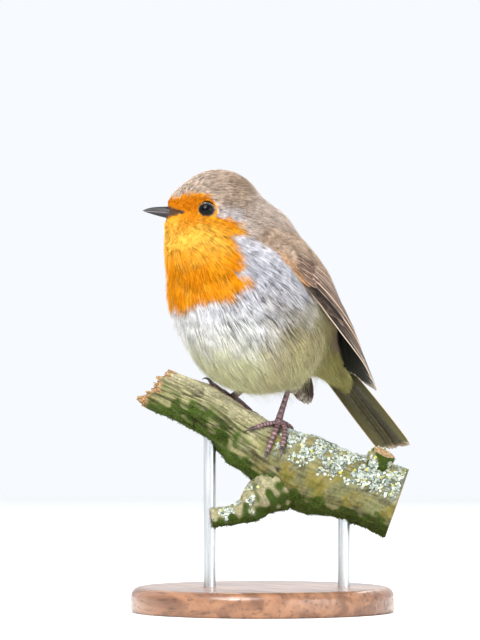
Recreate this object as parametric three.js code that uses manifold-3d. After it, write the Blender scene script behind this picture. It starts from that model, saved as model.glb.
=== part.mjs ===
// A European robin standing on a short cut length of branch, held up by a plain display stand.
// Millimetres, +Z up. The bird faces -Y and its left side is +X.
// The origin is the middle of the base's underside.
// The plumage is part of each solid's outline; single feathers are too fine to be solids here.
import * as THREE from "three";
import { mergeVertices } from "three/addons/utils/BufferGeometryUtils.js";
import Module from "manifold-3d";

const wasm = await Module();
wasm.setup();

const V = (x, y, z) => new THREE.Vector3(x, y, z);
const degrees = THREE.MathUtils.degToRad;
const mix = THREE.MathUtils.lerp;
const smooth = THREE.MathUtils.smoothstep;

// ---------- driving dimensions ----------
const GAP = 0.3; // between pieces that touch
const CHEST = V(-2.2, -2.8, 109.6); // middle of the trunk, the point that the bird is built round
const HEAD_OFFSET = V(0, -14.8, 33.0); // from the chest to the middle of the head
const HEAD_TURN = degrees(-30); // the head looks to the bird's right
const HEAD_RADIUS = 15.2;
const HALF_SKULL = 13; // from the head's middle plane to the side of the face, at the eye
const BILL_START = 15.6; // from the middle of the head to where the feathers end on the bill
const BILL_LENGTH = 11.4;
const EYE_RADIUS = 3.3;
const EYE_FORWARD = 5.2; // from the middle of the head
const EYE_UP = 0.5;
const EYE_FACING = degrees(14); // how far the eyes face forward
const EYE_RISE = 1.0; // how far the eyeball stands out of the plumage
const LORE_PINCH = 2.6; // how far the sides of the face draw in towards the bill
const TAIL_LENGTH = 60;
const TAIL_WIDTH = 16.5;
const TAIL_PITCH = degrees(45.8); // below level
const TAIL_ROLL = degrees(-14); // the tail's left edge is the higher one
const TAIL_TIP = V(0, 65.6, -52.4); // from the chest
const TARSUS_LENGTH = 25;
const PERCH_HEADING = degrees(52); // the branch's axis, counted from +X
const PERCH_BACK = 3; // how far the branch's axis lies behind the stand's middle
const ROD_RADIUS = 2.2;
const ROD_PLACES = [-19, 29]; // along the branch
const BASE_RADIUS = 47;
const BASE_HEIGHT = 9;
const BODY_CELL = 4.8; // size of a facet on the body
const HEAD_CELL = 3.8;
const LEAST_PIECE = 50; // chips smaller than this, in mm3, are dropped
const COARSENESS = 0.1; // facets flatter than this are joined

// ---------- solids from rings and from fields ----------

// A closed geometry from stacked rings of points. Both ends are closed by a fan round their middle.
function loft(rings) {
  const count = rings[0].length;
  const points = rings.flat();
  const faces = [];
  for (let i = 0; i + 1 < rings.length; i++) {
    for (let j = 0; j < count; j++) {
      const a = i * count + j;
      const b = i * count + ((j + 1) % count);
      faces.push(a, b, b + count, a, b + count, a + count);
    }
  }
  const last = (rings.length - 1) * count;
  const start = points.length;
  for (const ring of [rings[0], rings.at(-1)]) {
    points.push(ring.reduce((sum, p) => sum.add(p), V(0, 0, 0)).divideScalar(count));
  }
  for (let j = 0; j < count; j++) {
    const next = (j + 1) % count;
    faces.push(start, next, j, start + 1, last + j, last + next);
  }
  return geometryOf(points, faces);
}

function geometryOf(points, faces) {
  const geometry = new THREE.BufferGeometry().setFromPoints(points);
  geometry.setIndex(faces);
  return geometry;
}

// A three.js geometry as a manifold-3d solid, turned the right way out.
function solid(geometry) {
  const bare = new THREE.BufferGeometry();
  bare.setAttribute("position", geometry.getAttribute("position"));
  bare.setIndex(geometry.getIndex());
  const merged = mergeVertices(bare, 1e-4);
  const vertProperties = merged.attributes.position.array;
  const triVerts = new Uint32Array(merged.index.array);
  const made = new wasm.Manifold(new wasm.Mesh({ numProp: 3, vertProperties, triVerts }));
  if (made.volume() > 0) return made;
  return new wasm.Manifold(new wasm.Mesh({ numProp: 3, vertProperties, triVerts: triVerts.reverse() }));
}

function geometryFromSolid(made) {
  const mesh = made.getMesh();
  const points = [];
  for (let i = 0; i < mesh.numVert; i++) {
    points.push(V(...mesh.vertProperties.subarray(i * mesh.numProp, i * mesh.numProp + 3)));
  }
  const geometry = geometryOf(points, Array.from(mesh.triVerts)).toNonIndexed();
  geometry.computeVertexNormals();
  return geometry;
}

const largest = (made) => made.decompose().sort((a, b) => b.volume() - a.volume())[0];
const subtractAll = (made, tools) => tools.reduce((rest, tool) => rest.subtract(tool), made);

// Distance from p to an ellipsoid's surface, close to exact near it and negative inside.
function ellipsoidDistance(lump, p) {
  const q = p.clone().sub(lump.at).applyQuaternion(lump.turnBack);
  const near = q.clone().divide(lump.radii);
  const far = near.clone().divide(lump.radii);
  const k = near.length();
  return (k * (k - 1)) / Math.max(far.length(), 1e-6);
}

// radii are along X, Y and Z after the lump is pitched about X and turned about Z.
function lump(at, radii, pitch = 0, turn = 0) {
  const turned = new THREE.Quaternion().setFromEuler(new THREE.Euler(pitch, 0, turn, "ZYX"));
  return { at, radii, turnBack: turned.invert() };
}

// Soft union: distances closer than "soft" melt into each other.
function softUnion(a, b, soft) {
  const share = Math.max(soft - Math.abs(a - b), 0) / soft;
  return Math.min(a, b) - (share * share * soft) / 4;
}

// A closed mesh of field = level, by surface nets: one vertex in each cell that the surface crosses.
function netOf(field, low, high, cell, level = 0) {
  const size = high.clone().sub(low).divideScalar(cell).ceil().addScalar(1);
  const [nx, ny, nz] = size.toArray();
  const at = (i, j, k) => (k * ny + j) * nx + i;
  const values = new Float64Array(nx * ny * nz);
  for (let k = 0; k < nz; k++) {
    for (let j = 0; j < ny; j++) {
      for (let i = 0; i < nx; i++) {
        values[at(i, j, k)] = field(V(i, j, k).multiplyScalar(cell).add(low)) - level;
      }
    }
  }
  const corners = [0, 1, 2, 3, 4, 5, 6, 7].map((c) => [c & 1, (c >> 1) & 1, c >> 2]);
  const edges = [];
  for (let a = 0; a < 8; a++) {
    for (const bit of [1, 2, 4]) {
      if (!(a & bit)) edges.push([corners[a], corners[a | bit]]);
    }
  }
  const vertexOf = new Map();
  const points = [];
  for (let k = 0; k + 1 < nz; k++) {
    for (let j = 0; j + 1 < ny; j++) {
      for (let i = 0; i + 1 < nx; i++) {
        const middle = V(0, 0, 0);
        let crossed = 0;
        for (const [a, b] of edges) {
          const va = values[at(i + a[0], j + a[1], k + a[2])];
          const vb = values[at(i + b[0], j + b[1], k + b[2])];
          if (va < 0 === vb < 0) continue;
          middle.add(V(...a).lerp(V(...b), va / (va - vb)));
          crossed++;
        }
        if (!crossed) continue;
        vertexOf.set(at(i, j, k), points.length);
        points.push(middle.divideScalar(crossed).add(V(i, j, k)).multiplyScalar(cell).add(low));
      }
    }
  }
  const faces = [];
  const steps = [[1, 0, 0], [0, 1, 0], [0, 0, 1]];
  for (let k = 1; k + 1 < nz; k++) {
    for (let j = 1; j + 1 < ny; j++) {
      for (let i = 1; i + 1 < nx; i++) {
        steps.forEach(([di, dj, dk], axis) => {
          const inside = values[at(i, j, k)] < 0;
          if (inside === values[at(i + di, j + dj, k + dk)] < 0) return;
          const [u, v] = [steps[(axis + 1) % 3], steps[(axis + 2) % 3]];
          const cellAt = (a, b) => {
            const [x, y, z] = [i, j, k].map((place, n) => place - a * u[n] - b * v[n]);
            return vertexOf.get(at(x, y, z));
          };
          const ring = [cellAt(0, 0), cellAt(1, 0), cellAt(1, 1), cellAt(0, 1)];
          if (!inside) ring.reverse();
          faces.push(ring[0], ring[1], ring[2], ring[0], ring[2], ring[3]);
        });
      }
    }
  }
  return geometryOf(points, faces);
}

// ---------- the plumed body: one soft form, parted later by thin cuts ----------

const tailAlong = V(0, Math.cos(TAIL_PITCH), -Math.sin(TAIL_PITCH));
const headLook = V(0, -1, 0).applyAxisAngle(V(0, 0, 1), HEAD_TURN);
const headLeft = V(1, 0, 0).applyAxisAngle(V(0, 0, 1), HEAD_TURN);
const onHead = (left, back, up) =>
  HEAD_OFFSET.clone().addScaledVector(headLeft, left).addScaledVector(headLook, -back).add(V(0, 0, up));

const bodyLumps = [
  lump(V(0, 0, -1), V(27, 27.5, 31), degrees(38)), // trunk, its long axis leaning forward
  lump(V(0, -6, 7), V(25.5, 24.8, 24)), // breast
  lump(V(0, 1.5, -9.5), V(23.5, 22.5, 20)), // belly
  lump(V(0, -14, 19.5), V(16.5, 21.5, 17.5)), // neck
  lump(V(0, -1, 17.5), V(18.5, 18.5, 15)), // shoulders and mantle
  lump(V(0, 16.5, -3), V(18, 14.5, 13)), // lower back
  lump(V(0, 19, -9.5), V(15, 18, 11), -TAIL_PITCH), // rump
  lump(V(0, 32, -20), V(8, 14, 4.5), -TAIL_PITCH), // tail coverts
  lump(HEAD_OFFSET, V(14.2, HEAD_RADIUS + 0.6, HEAD_RADIUS), 0, HEAD_TURN), // skull
  lump(onHead(0, -6.3, -1.5), V(8.2, 9.6, 9.2), 0, HEAD_TURN), // face
  lump(onHead(0, -4.5, -8), V(10.5, 11.5, 9), 0, HEAD_TURN), // cheeks and throat
  lump(onHead(0, -12, 2.4), V(3.6, 5, 3.6), 0, HEAD_TURN), // forehead, over the bill's root
  lump(onHead(0, -12.6, -4.8), V(4.2, 4.6, 3.8), 0, HEAD_TURN), // chin
  lump(onHead(0, 12.5, -7.3), V(10, 13.2, 10.4), 0, HEAD_TURN), // nape
];
const BODY_SOFT = 5.5;

// The head is broad at the eyes and narrow at the bill's root.
function lorePinch(p) {
  const place = p.clone().sub(HEAD_OFFSET);
  const aside = Math.abs(place.dot(headLeft));
  const level = 1 - smooth(Math.abs(place.z + 1), 6, 12);
  return LORE_PINCH * smooth(place.dot(headLook), 7, 15) * smooth(aside, 1.5, 7) * level;
}

function bodyDistance(p) {
  const lumps = bodyLumps.reduce((found, l) => softUnion(found, ellipsoidDistance(l, p), BODY_SOFT), 1e3);
  return lumps + lorePinch(p);
}

const BODY_LOW = V(-36, -42, -42);
const BODY_HIGH = V(36, 56, 56);
const bodyAt = (level, cell) => solid(netOf(bodyDistance, BODY_LOW, BODY_HIGH, cell, level));

// ---------- bill, in the head's frame: forward is along the look, up is +Z ----------

// share runs from 0 at the feathers to 1 at the tip, and is negative inside the head.
const billSections = {
  top: (share) => 2.15 - 0.35 * share - 1.75 * Math.max(share, 0) ** 3.2,
  bottom: (share) => -2.0 + 1.75 * Math.max(share, 0) ** 0.85,
  halfWidth: (share) => 2.35 - 2.1 * Math.max(share, 0) ** 0.7,
};
const BILL_ROOT = -0.35; // share of the length that is sunk in the face
const BILL_RINGS = 8;

function billHalf(upper, grow = 0) {
  const rings = [];
  const reach = upper ? 1 : 0.95;
  for (let i = 0; i <= BILL_RINGS; i++) {
    const share = mix(BILL_ROOT - grow / BILL_LENGTH, reach, i / BILL_RINGS);
    const seam = -0.12 * Math.max(share, 0) ** 2 + (upper ? GAP / 2 - grow : grow - GAP / 2);
    const edge = upper ? billSections.top(share) : billSections.bottom(share);
    const height = upper ? Math.max(edge + grow - seam, 0.32) : Math.min(edge - grow - seam, -0.3);
    const half = Math.max(billSections.halfWidth(share) * (upper ? 1 : 0.88), 0.3) + grow;
    const ring = [];
    for (let j = 0; j <= 8; j++) {
      const angle = (Math.PI * j) / 8;
      const across = Math.cos(angle) * half;
      const rise = Math.sin(angle) ** (upper ? 0.85 : 0.75) * height;
      ring.push(onHead(across, -(BILL_START + share * BILL_LENGTH), seam + rise));
    }
    rings.push(ring);
  }
  return solid(loft(rings));
}

// ---------- folded wing, from the shoulder to the longest primary ----------

// Stations along the left wing: its middle line's place from the chest, and the way its outside faces.
const wingStations = [
  { at: V(19.5, -9.6, 23.5), out: V(0.85, -0.3, 0.4) },
  { at: V(23.5, 2, 17), out: V(0.88, 0.0, 0.45) },
  { at: V(25.3, 13.3, 8), out: V(0.83, 0.25, 0.5) },
  { at: V(22.6, 25.3, -3.8), out: V(0.62, 0.5, 0.6) },
  { at: V(18.6, 34.3, -15.6), out: V(0.25, 0.74, 0.62) },
  { at: V(14.6, 42.2, -29.3), out: V(0, 0.74, 0.67) },
];
const WING_ROWS = 13;
const WING_STRIPS = 4; // flight feathers whose edges show as steps
const WING_STEP = 0.35;
const WING_BEND = { folded: 23, free: 17 }; // radii that the wing curls to across its width

const wingLine = new THREE.CatmullRomCurve3(wingStations.map((s) => s.at));
const wingOut = new THREE.CatmullRomCurve3(wingStations.map((s) => s.out));
// Half-widths towards the leading edge and towards the back, along the wing.
const swell = (s, full) => Math.min(1, (s / full) ** 0.6);
const leadHalf = (s) => mix(8.4, 6.2, smooth(s, 0.5, 0.95)) * swell(s, 0.5) * tipRound(s);
const backHalf = (s) => 13.5 * swell(s, 0.25) * mix(1, 0.42, smooth(s, 0.62, 0.94)) * tipRound(s);
const tipRound = (s) => Math.sqrt(Math.max(1 - Math.max((s - 0.93) / 0.07, 0) ** 2, 0.02));

function wingPoint(s, across, lift) {
  const along = wingLine.getTangent(s);
  const out = wingOut.getPoint(s);
  out.addScaledVector(along, -out.dot(along)).normalize();
  const side = new THREE.Vector3().crossVectors(along, out); // towards the leading edge
  const bend = mix(WING_BEND.folded, WING_BEND.free, smooth(s, 0.45, 0.75));
  const angle = across / bend;
  return wingLine
    .getPoint(s)
    .addScaledVector(side, (bend + lift) * Math.sin(angle))
    .addScaledVector(out, (bend + lift) * Math.cos(angle) - bend);
}

// With room, the shape is that of the hollow which the wing needs in the body.
function wingShape({ droop, yaw }, sideSign, room = 0) {
  const rings = [];
  for (let i = 0; i <= WING_ROWS; i++) {
    const s = i / WING_ROWS;
    const lead = Math.max(leadHalf(s), 0.6) + room;
    const back = Math.max(backHalf(s), 0.6) + room;
    const depth = mix(2.6, 0.5, smooth(s, 0.5, 0.68)) + room;
    const height = room ? 6 : 0.9;
    const stepHeight = WING_STEP * smooth(s, 0.1, 0.3) * (1 - smooth(s, 0.9, 1));
    const outer = [];
    for (let k = 0; k < WING_STRIPS; k++) {
      const [from, to] = [k / WING_STRIPS, (k + 0.94) / WING_STRIPS];
      outer.push([mix(lead, -back, from), height], [mix(lead, -back, to), height + stepHeight]);
    }
    outer.push([-back, height - 0.2]);
    const inner = [0.92, 0.5, 0, -0.5, -0.92].map((t) => [t < 0 ? -t * lead : -t * back, -depth]);
    const past = (i === WING_ROWS ? 1 : i === 0 ? -1 : 0) * room;
    const shift = wingLine.getTangent(s).multiplyScalar(past);
    rings.push([...outer, ...inner].map(([across, lift]) => wingPoint(s, across, lift).add(shift)));
  }
  const turn = new THREE.Matrix4()
    .makeTranslation(wingStations[0].at)
    .multiply(new THREE.Matrix4().makeRotationZ(yaw))
    .multiply(new THREE.Matrix4().makeRotationX(droop))
    .multiply(new THREE.Matrix4().makeTranslation(wingStations[0].at.clone().negate()));
  return solid(
    loft(rings)
      .applyMatrix4(turn)
      .scale(sideSign, 1, 1),
  );
}

// ---------- tail: a folded stack of rectrices ----------

const tailAcross = V(1, 0, 0).applyAxisAngle(tailAlong, TAIL_ROLL);
const tailUp = new THREE.Vector3().crossVectors(tailAcross, tailAlong);
const TAIL_ROWS = 10;
const TAIL_STRIPS = 3; // on each side of the middle pair

function tailShape() {
  const rings = [];
  for (let i = 0; i <= TAIL_ROWS; i++) {
    const share = i / TAIL_ROWS;
    const half = (TAIL_WIDTH / 2) * mix(0.62, 1, smooth(share, 0, 0.8)) * (share > 0.97 ? 0.86 : 1);
    const ring = [];
    const put = (across, lift) => {
      const notch = share > 0.97 ? -1.6 * (1 - Math.abs(across / half)) : 0;
      ring.push(
        TAIL_TIP.clone()
          .addScaledVector(tailAlong, (share - 1) * TAIL_LENGTH + notch)
          .addScaledVector(tailAcross, across)
          .addScaledVector(tailUp, lift - 0.012 * across ** 2 + 1.6 * share * (1 - share)),
      );
    };
    for (let k = -TAIL_STRIPS; k <= TAIL_STRIPS; k++) {
      put((half * k) / (TAIL_STRIPS + 0.4), 0.75 - 0.16 * Math.abs(k));
    }
    put(half, 0.2);
    put(half, -0.35);
    for (let k = TAIL_STRIPS; k >= -TAIL_STRIPS; k--) {
      put((half * k) / (TAIL_STRIPS + 0.4), -0.7 + 0.1 * Math.abs(k));
    }
    put(-half, -0.35);
    put(-half, 0.2);
    rings.push(ring);
  }
  return solid(loft(rings));
}

// ---------- branch, in its own frame: x along it, y away from the viewer's side, z up ----------

const branchStations = [
  { x: -36.5, z: 79.2, r: 7.4 },
  { x: -20.3, z: 71.5, r: 8.3 },
  { x: -4.6, z: 60.6, r: 9.6 },
  { x: 15.0, z: 50.1, r: 12.9 },
  { x: 35.7, z: 42.9, r: 12.0 },
  { x: 48.0, z: 38.6, r: 12.2 },
];
const branchLine = new THREE.CatmullRomCurve3(branchStations.map((s) => V(s.x, PERCH_BACK, s.z)));
const branchGirth = new THREE.CatmullRomCurve3(branchStations.map((s) => V(s.x, s.r, 0)));

// Swellings and hollows of the bark, as a share of the radius.
function barkRelief(s, angle) {
  return (
    0.035 * Math.sin(3 * angle + 9 * s) +
    0.03 * Math.sin(5 * angle - 4 * s + 1) +
    0.025 * Math.sin(21 * s + 2 * angle) +
    0.02 * Math.sin(37 * s + 4 * angle + 2)
  );
}

// A point over the bark. angle is 0 on top and grows towards the viewer's side.
function branchPoint(s, angle, lift = 0) {
  const along = branchLine.getTangentAt(s);
  const top = V(-along.z, 0, along.x).normalize();
  const out = top.multiplyScalar(Math.cos(angle)).add(V(0, -Math.sin(angle), 0));
  const radius = branchGirth.getPoint(s).y * (1 + barkRelief(s, angle));
  return branchLine.getPointAt(s).addScaledVector(out, radius + lift);
}

const BRANCH_ROWS = 17;
const BRANCH_SIDES = 16;
function branchTrunk() {
  const rings = [];
  for (let i = 0; i <= BRANCH_ROWS; i++) {
    const ring = [];
    for (let j = 0; j < BRANCH_SIDES; j++) {
      const angle = (2 * Math.PI * j) / BRANCH_SIDES;
      const point = branchPoint(i / BRANCH_ROWS, angle);
      // The left end is a slanting, splintered break, and the right end is sawn square.
      const broken = 2.6 * Math.cos(angle) + 1.2 * Math.sin(5 * angle) - 2;
      if (i === 0) point.addScaledVector(branchLine.getTangentAt(0), broken);
      ring.push(point);
    }
    rings.push(ring);
  }
  return solid(loft(rings));
}

// A round, tapering length from a to b, with a ring every step and any number of sides.
function tapered(path, radiusAt, sides, rows) {
  const rings = [];
  const frames = path.computeFrenetFrames(rows, false);
  for (let i = 0; i <= rows; i++) {
    const middle = path.getPointAt(i / rows);
    const ring = [];
    for (let j = 0; j < sides; j++) {
      const angle = (2 * Math.PI * j) / sides;
      ring.push(
        middle
          .clone()
          .addScaledVector(frames.normals[i], radiusAt(i / rows) * Math.cos(angle))
          .addScaledVector(frames.binormals[i], radiusAt(i / rows) * Math.sin(angle)),
      );
    }
    rings.push(ring);
  }
  return loft(rings);
}
const pathOf = (...points) => new THREE.CatmullRomCurve3(points);

// Stubs of two side twigs, sawn off short: one below, one above.
const twigBelow = tapered(
  pathOf(
    V(10, PERCH_BACK, 49),
    V(0, PERCH_BACK - 2, 41),
    V(-7, PERCH_BACK - 3, 35.5),
    V(-18, PERCH_BACK - 3, 33.5),
  ),
  (t) => mix(10, 3.4, smooth(t, 0, 0.85)),
  11,
  7,
);
const twigAbove = tapered(
  pathOf(V(37, PERCH_BACK - 2, 44), V(40, PERCH_BACK - 4, 50), V(43.5, PERCH_BACK - 6, 57)),
  (t) => mix(6.4, 4.2, smooth(t, 0, 0.7)),
  10,
  4,
);

const rodBase = 3.5; // the rods stand this high inside the base
function rodShape(index, grow = 0) {
  const x = ROD_PLACES[index];
  const shares = [...Array(200).keys()].map((i) => i / 199);
  const nearest = shares.reduce((a, b) =>
    Math.abs(branchLine.getPointAt(b).x - x) < Math.abs(branchLine.getPointAt(a).x - x) ? b : a,
  );
  const top = branchLine.getPointAt(nearest).z - branchGirth.getPoint(nearest).y + 4 + grow;
  const height = top - rodBase + grow;
  return new THREE.CylinderGeometry(ROD_RADIUS + grow, ROD_RADIUS + grow, height, 20)
    .rotateX(Math.PI / 2)
    .translate(x, PERCH_BACK, rodBase - grow + height / 2);
}

function baseShape() {
  const profile = [
    [0, 0],
    [BASE_RADIUS - 1, 0],
    [BASE_RADIUS, 1],
    [BASE_RADIUS, BASE_HEIGHT - 3.5],
    [BASE_RADIUS - 0.6, BASE_HEIGHT - 2],
    [BASE_RADIUS - 2, BASE_HEIGHT - 0.6],
    [BASE_RADIUS - 3.5, BASE_HEIGHT],
    [0, BASE_HEIGHT],
  ];
  return new THREE.LatheGeometry(profile.map(([r, z]) => new THREE.Vector2(r, z)), 30).rotateX(Math.PI / 2);
}

// ---------- legs: each toe runs over the bark from the foot's joint ----------

const feet = {
  left: {
    ankle: V(13, -1, 91),
    joint: V(5.7, 1.6, 68.1),
    toes: {
      hallux: [[0.5, -0.4], [0.515, -0.85], [0.525, -1.25]],
      inner: [[0.443, 0.35], [0.407, 0.72], [0.381, 1.04]],
      middle: [[0.458, 0.74], [0.466, 1.18], [0.473, 1.55]],
      outer: [[0.486, 0.55], [0.503, 0.92], [0.516, 1.22]],
    },
  },
  right: {
    ankle: V(5, 15, 89),
    joint: V(-10.7, 5.5, 76.8),
    toes: {
      hallux: [[0.335, -0.65], [0.355, -1.05], [0.373, -1.45]],
      inner: [[0.26, -0.35], [0.205, -0.33], [0.158, 0.08]],
      middle: [[0.262, -0.65], [0.215, -0.78], [0.168, -0.75]],
      outer: [[0.285, -0.95], [0.255, -1.35], [0.23, -1.7]],
    },
  },
};
const TOE_RADIUS = 1.05;
const CLAW_LENGTH = 4.6;

function toePath(foot, toe) {
  const onBark = toe.map(([s, angle], i) => branchPoint(s, angle, GAP + TOE_RADIUS * (1 - 0.1 * i)));
  return pathOf(foot.joint, onBark[0], ...onBark.slice(1));
}

function toeShape(foot, toe, grow = 0) {
  const knuckles = (t) => 1 + 0.12 * Math.sin(3 * Math.PI * t) ** 2;
  return tapered(toePath(foot, toe), (t) => TOE_RADIUS * mix(1, 0.72, t) * knuckles(t) + grow, 6, 6);
}

function clawShape(foot, toe) {
  const path = toePath(foot, toe);
  const root = path.getPointAt(1);
  const along = path.getTangentAt(1);
  const [s, angle] = toe.at(-1);
  const out = branchPoint(s, angle, 1).sub(branchPoint(s, angle, 0));
  root.addScaledVector(along, GAP);
  const curve = pathOf(
    root,
    root.clone().addScaledVector(along, 0.45 * CLAW_LENGTH).addScaledVector(out, 0.45),
    root.clone().addScaledVector(along, 0.8 * CLAW_LENGTH).addScaledVector(out, 0.1),
    root.clone().addScaledVector(along, CLAW_LENGTH).addScaledVector(out, -0.55),
  );
  return tapered(curve, (t) => mix(0.66, 0.26, t), 6, 4);
}

function tarsusShape(foot, grow = 0) {
  const up = foot.ankle.clone().sub(foot.joint).normalize();
  const path = pathOf(
    foot.joint.clone().addScaledVector(up, -0.6 - grow),
    foot.joint.clone().addScaledVector(up, TARSUS_LENGTH * 0.5),
    foot.joint.clone().addScaledVector(up, TARSUS_LENGTH + grow),
  );
  const radius = (t) => 0.95 + 0.55 * (1 - t) ** 4 + 0.45 * t ** 5 + grow;
  return tapered(path, radius, 8, 6);
}

// The feathered drumstick, sunk in the belly round the top of the tarsus.
function thighShape(foot, grow = 0) {
  const up = foot.ankle.clone().sub(foot.joint).normalize();
  const turn = new THREE.Quaternion().setFromUnitVectors(V(0, 0, 1), up);
  return new THREE.SphereGeometry(1, 12, 8)
    .scale(5.2 + grow, 5.2 + grow, 9 + grow)
    .applyQuaternion(turn)
    .translate(...foot.joint.clone().addScaledVector(up, TARSUS_LENGTH * 0.86).toArray());
}

// ---------- finishes ----------

function finish(color, roughness, metalness = 0) {
  return new THREE.MeshStandardMaterial({ color, roughness, metalness });
}
const finishes = {
  crown: finish("#8d7b68", 0.85),
  breast: finish("#e8830f", 0.85),
  plumage: finish("#cfcdbf", 0.9),
  flight: finish("#6b5546", 0.75),
  bill: finish("#3a3234", 0.4),
  eye: finish("#0c0a0c", 0.08),
  legs: finish("#6d4145", 0.55),
  claws: finish("#33282a", 0.4),
  bark: finish("#8b8468", 0.95),
  base: finish("#3f2a1c", 0.45),
  rod: finish("#9a9a98", 0.35, 1),
};

// ---------- putting it together ----------

const robin = new THREE.Group();
function add(name, made, material) {
  const mesh = new THREE.Mesh(geometryFromSolid(made.simplify(COARSENESS)), material);
  mesh.name = name;
  robin.add(mesh);
}
const shifted = (made, by) => made.translate(by.toArray());
const toBranch = new THREE.Matrix4().makeRotationZ(PERCH_HEADING);
const placed = (geometry) => solid(geometry.clone().applyMatrix4(toBranch));

// Thin slabs that part the body where a person would name its parts.
function slab(at, normal, reach = 200) {
  const turn = new THREE.Quaternion().setFromUnitVectors(V(0, 0, 1), normal.clone().normalize());
  const box = new THREE.BoxGeometry(reach, reach, GAP).applyQuaternion(turn).translate(...at.toArray());
  return shifted(solid(box), CHEST);
}
const neckAlong = HEAD_OFFSET.clone().normalize();
const HEAD_CUT = neckAlong.clone().multiplyScalar(24.5);
const NECK_CUT = neckAlong.clone().multiplyScalar(16.5);
const RUMP_CUT = tailAlong.clone().multiplyScalar(23);

const grownBody = shifted(bodyAt(GAP + 0.1, HEAD_CELL), CHEST);
const body = shifted(bodyAt(0, BODY_CELL), CHEST);
const fineBody = shifted(bodyAt(0, HEAD_CELL), CHEST);

// The point where a line from inside the body comes out through the plumage.
function wayOut(from, direction) {
  let [inside, outside] = [0, 40];
  for (let i = 0; i < 30; i++) {
    const middle = (inside + outside) / 2;
    if (bodyDistance(from.clone().addScaledVector(direction, middle)) < 0) inside = middle;
    else outside = middle;
  }
  return from.clone().addScaledVector(direction, inside);
}

function eyeAt(sideSign) {
  const facing = headLeft
    .clone()
    .multiplyScalar(sideSign * Math.cos(EYE_FACING))
    .addScaledVector(headLook, Math.sin(EYE_FACING));
  // The line starts further back, so that the ball ends up EYE_FORWARD of the head's middle.
  const start = EYE_FORWARD - HALF_SKULL * Math.sin(EYE_FACING);
  return wayOut(onHead(0, -start, EYE_UP), facing)
    .addScaledVector(facing, EYE_RISE - EYE_RADIUS)
    .add(CHEST);
}
const eyeBall = (sideSign, grow = 0) =>
  solid(new THREE.SphereGeometry(EYE_RADIUS + grow, 14, 9).translate(...eyeAt(sideSign).toArray()));
const bills = { bill_upper: billHalf(true), bill_lower: billHalf(false) };
const billTools = [true, false].map((upper) => shifted(billHalf(upper, GAP), CHEST));

const sides = { left: 1, right: -1 };
const legTools = Object.values(feet).flatMap((foot) => [
  placed(thighShape(foot, GAP)),
  placed(tarsusShape(foot, GAP)),
]);
// The right wing hangs a little lower, with its tip closer to the tail.
const WING_HANG = { left: { droop: 0, yaw: 0 }, right: { droop: degrees(-6), yaw: degrees(6) } };
const wingOf = (side, room = 0) => shifted(wingShape(WING_HANG[side], sides[side], room), CHEST);
const wingTools = Object.keys(sides).map((side) => wingOf(side, 4 * GAP));
const eyeTools = Object.values(sides).map((sign) => eyeBall(sign, GAP));
const neckSlab = slab(NECK_CUT, neckAlong);
const rumpSlab = slab(RUMP_CUT, tailAlong);
const bodyPieces = subtractAll(body, [neckSlab, rumpSlab, ...legTools, ...wingTools]);
const rumpPieces = subtractAll(fineBody, [rumpSlab, ...legTools, ...wingTools]);
const headPieces = subtractAll(fineBody, [
  slab(HEAD_CUT, neckAlong),
  neckSlab,
  ...eyeTools,
  ...billTools,
  ...wingTools,
]);

// The pieces of a parted solid, the one that lies furthest along a direction first.
function furthest(made, direction) {
  const middle = (piece) => {
    const box = piece.boundingBox();
    return V(...box.min).add(V(...box.max)).multiplyScalar(0.5).dot(direction);
  };
  const pieces = made.decompose().filter((piece) => piece.volume() > LEAST_PIECE);
  return pieces.sort((a, b) => middle(b) - middle(a));
}
const headFirst = furthest(headPieces, neckAlong);
add("head", headFirst[0], finishes.crown);
add("neck", headFirst[1], finishes.breast);
add("rump", furthest(rumpPieces, tailAlong)[0], finishes.plumage);
add("trunk", largest(bodyPieces), finishes.plumage);

for (const [name, made] of Object.entries(bills)) {
  add(name, shifted(made, CHEST), finishes.bill);
}
const tail = largest(subtractAll(shifted(tailShape(), CHEST), [grownBody, ...wingTools]));
add("tail", tail, finishes.flight);

for (const [side, sign] of Object.entries(sides)) {
  add("eye_" + side, eyeBall(sign), finishes.eye);
  add("wing_" + side, wingOf(side), finishes.flight);
}

for (const [side, foot] of Object.entries(feet)) {
  add("thigh_" + side, placed(thighShape(foot)).subtract(placed(tarsusShape(foot, GAP))), finishes.plumage);
  const tarsus = placed(tarsusShape(foot));
  add("tarsus_" + side, tarsus, finishes.legs);
  let taken = placed(tarsusShape(foot, GAP));
  for (const [digit, toe] of Object.entries(foot.toes)) {
    add(`toe_${side}_${digit}`, largest(placed(toeShape(foot, toe)).subtract(taken)), finishes.legs);
    taken = taken.add(placed(toeShape(foot, toe, GAP)));
    add(`claw_${side}_${digit}`, placed(clawShape(foot, toe)), finishes.claws);
  }
}

const rodTools = ROD_PLACES.map((_, i) => placed(rodShape(i, GAP)));
const branch = placed(geometryFromSolid(branchTrunk())).add(placed(twigBelow)).add(placed(twigAbove));
add("perch", subtractAll(branch, rodTools), finishes.bark);
add("stand_base", subtractAll(solid(baseShape()), rodTools), finishes.base);
ROD_PLACES.forEach((_, i) => add(`stand_rod_${i + 1}`, placed(rodShape(i)), finishes.rod));

export default robin;
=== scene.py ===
# %% [markdown]
# # A robin on a cut length of branch
# The model is a life-size garden robin, standing as it does on a lichened branch. Its body, wings, legs
# and perch are already there as plain solids. This script gives them their looks: feathers, horn, scales,
# bark, lichen and moss. All sizes are in millimetres until a mesh is made, because that is how a bird is
# measured; only the mesh helpers turn them into Blender's metres.

# %% Tools and frame
import math

import bpy
import numpy as np
from mathutils import Matrix, Vector


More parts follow.
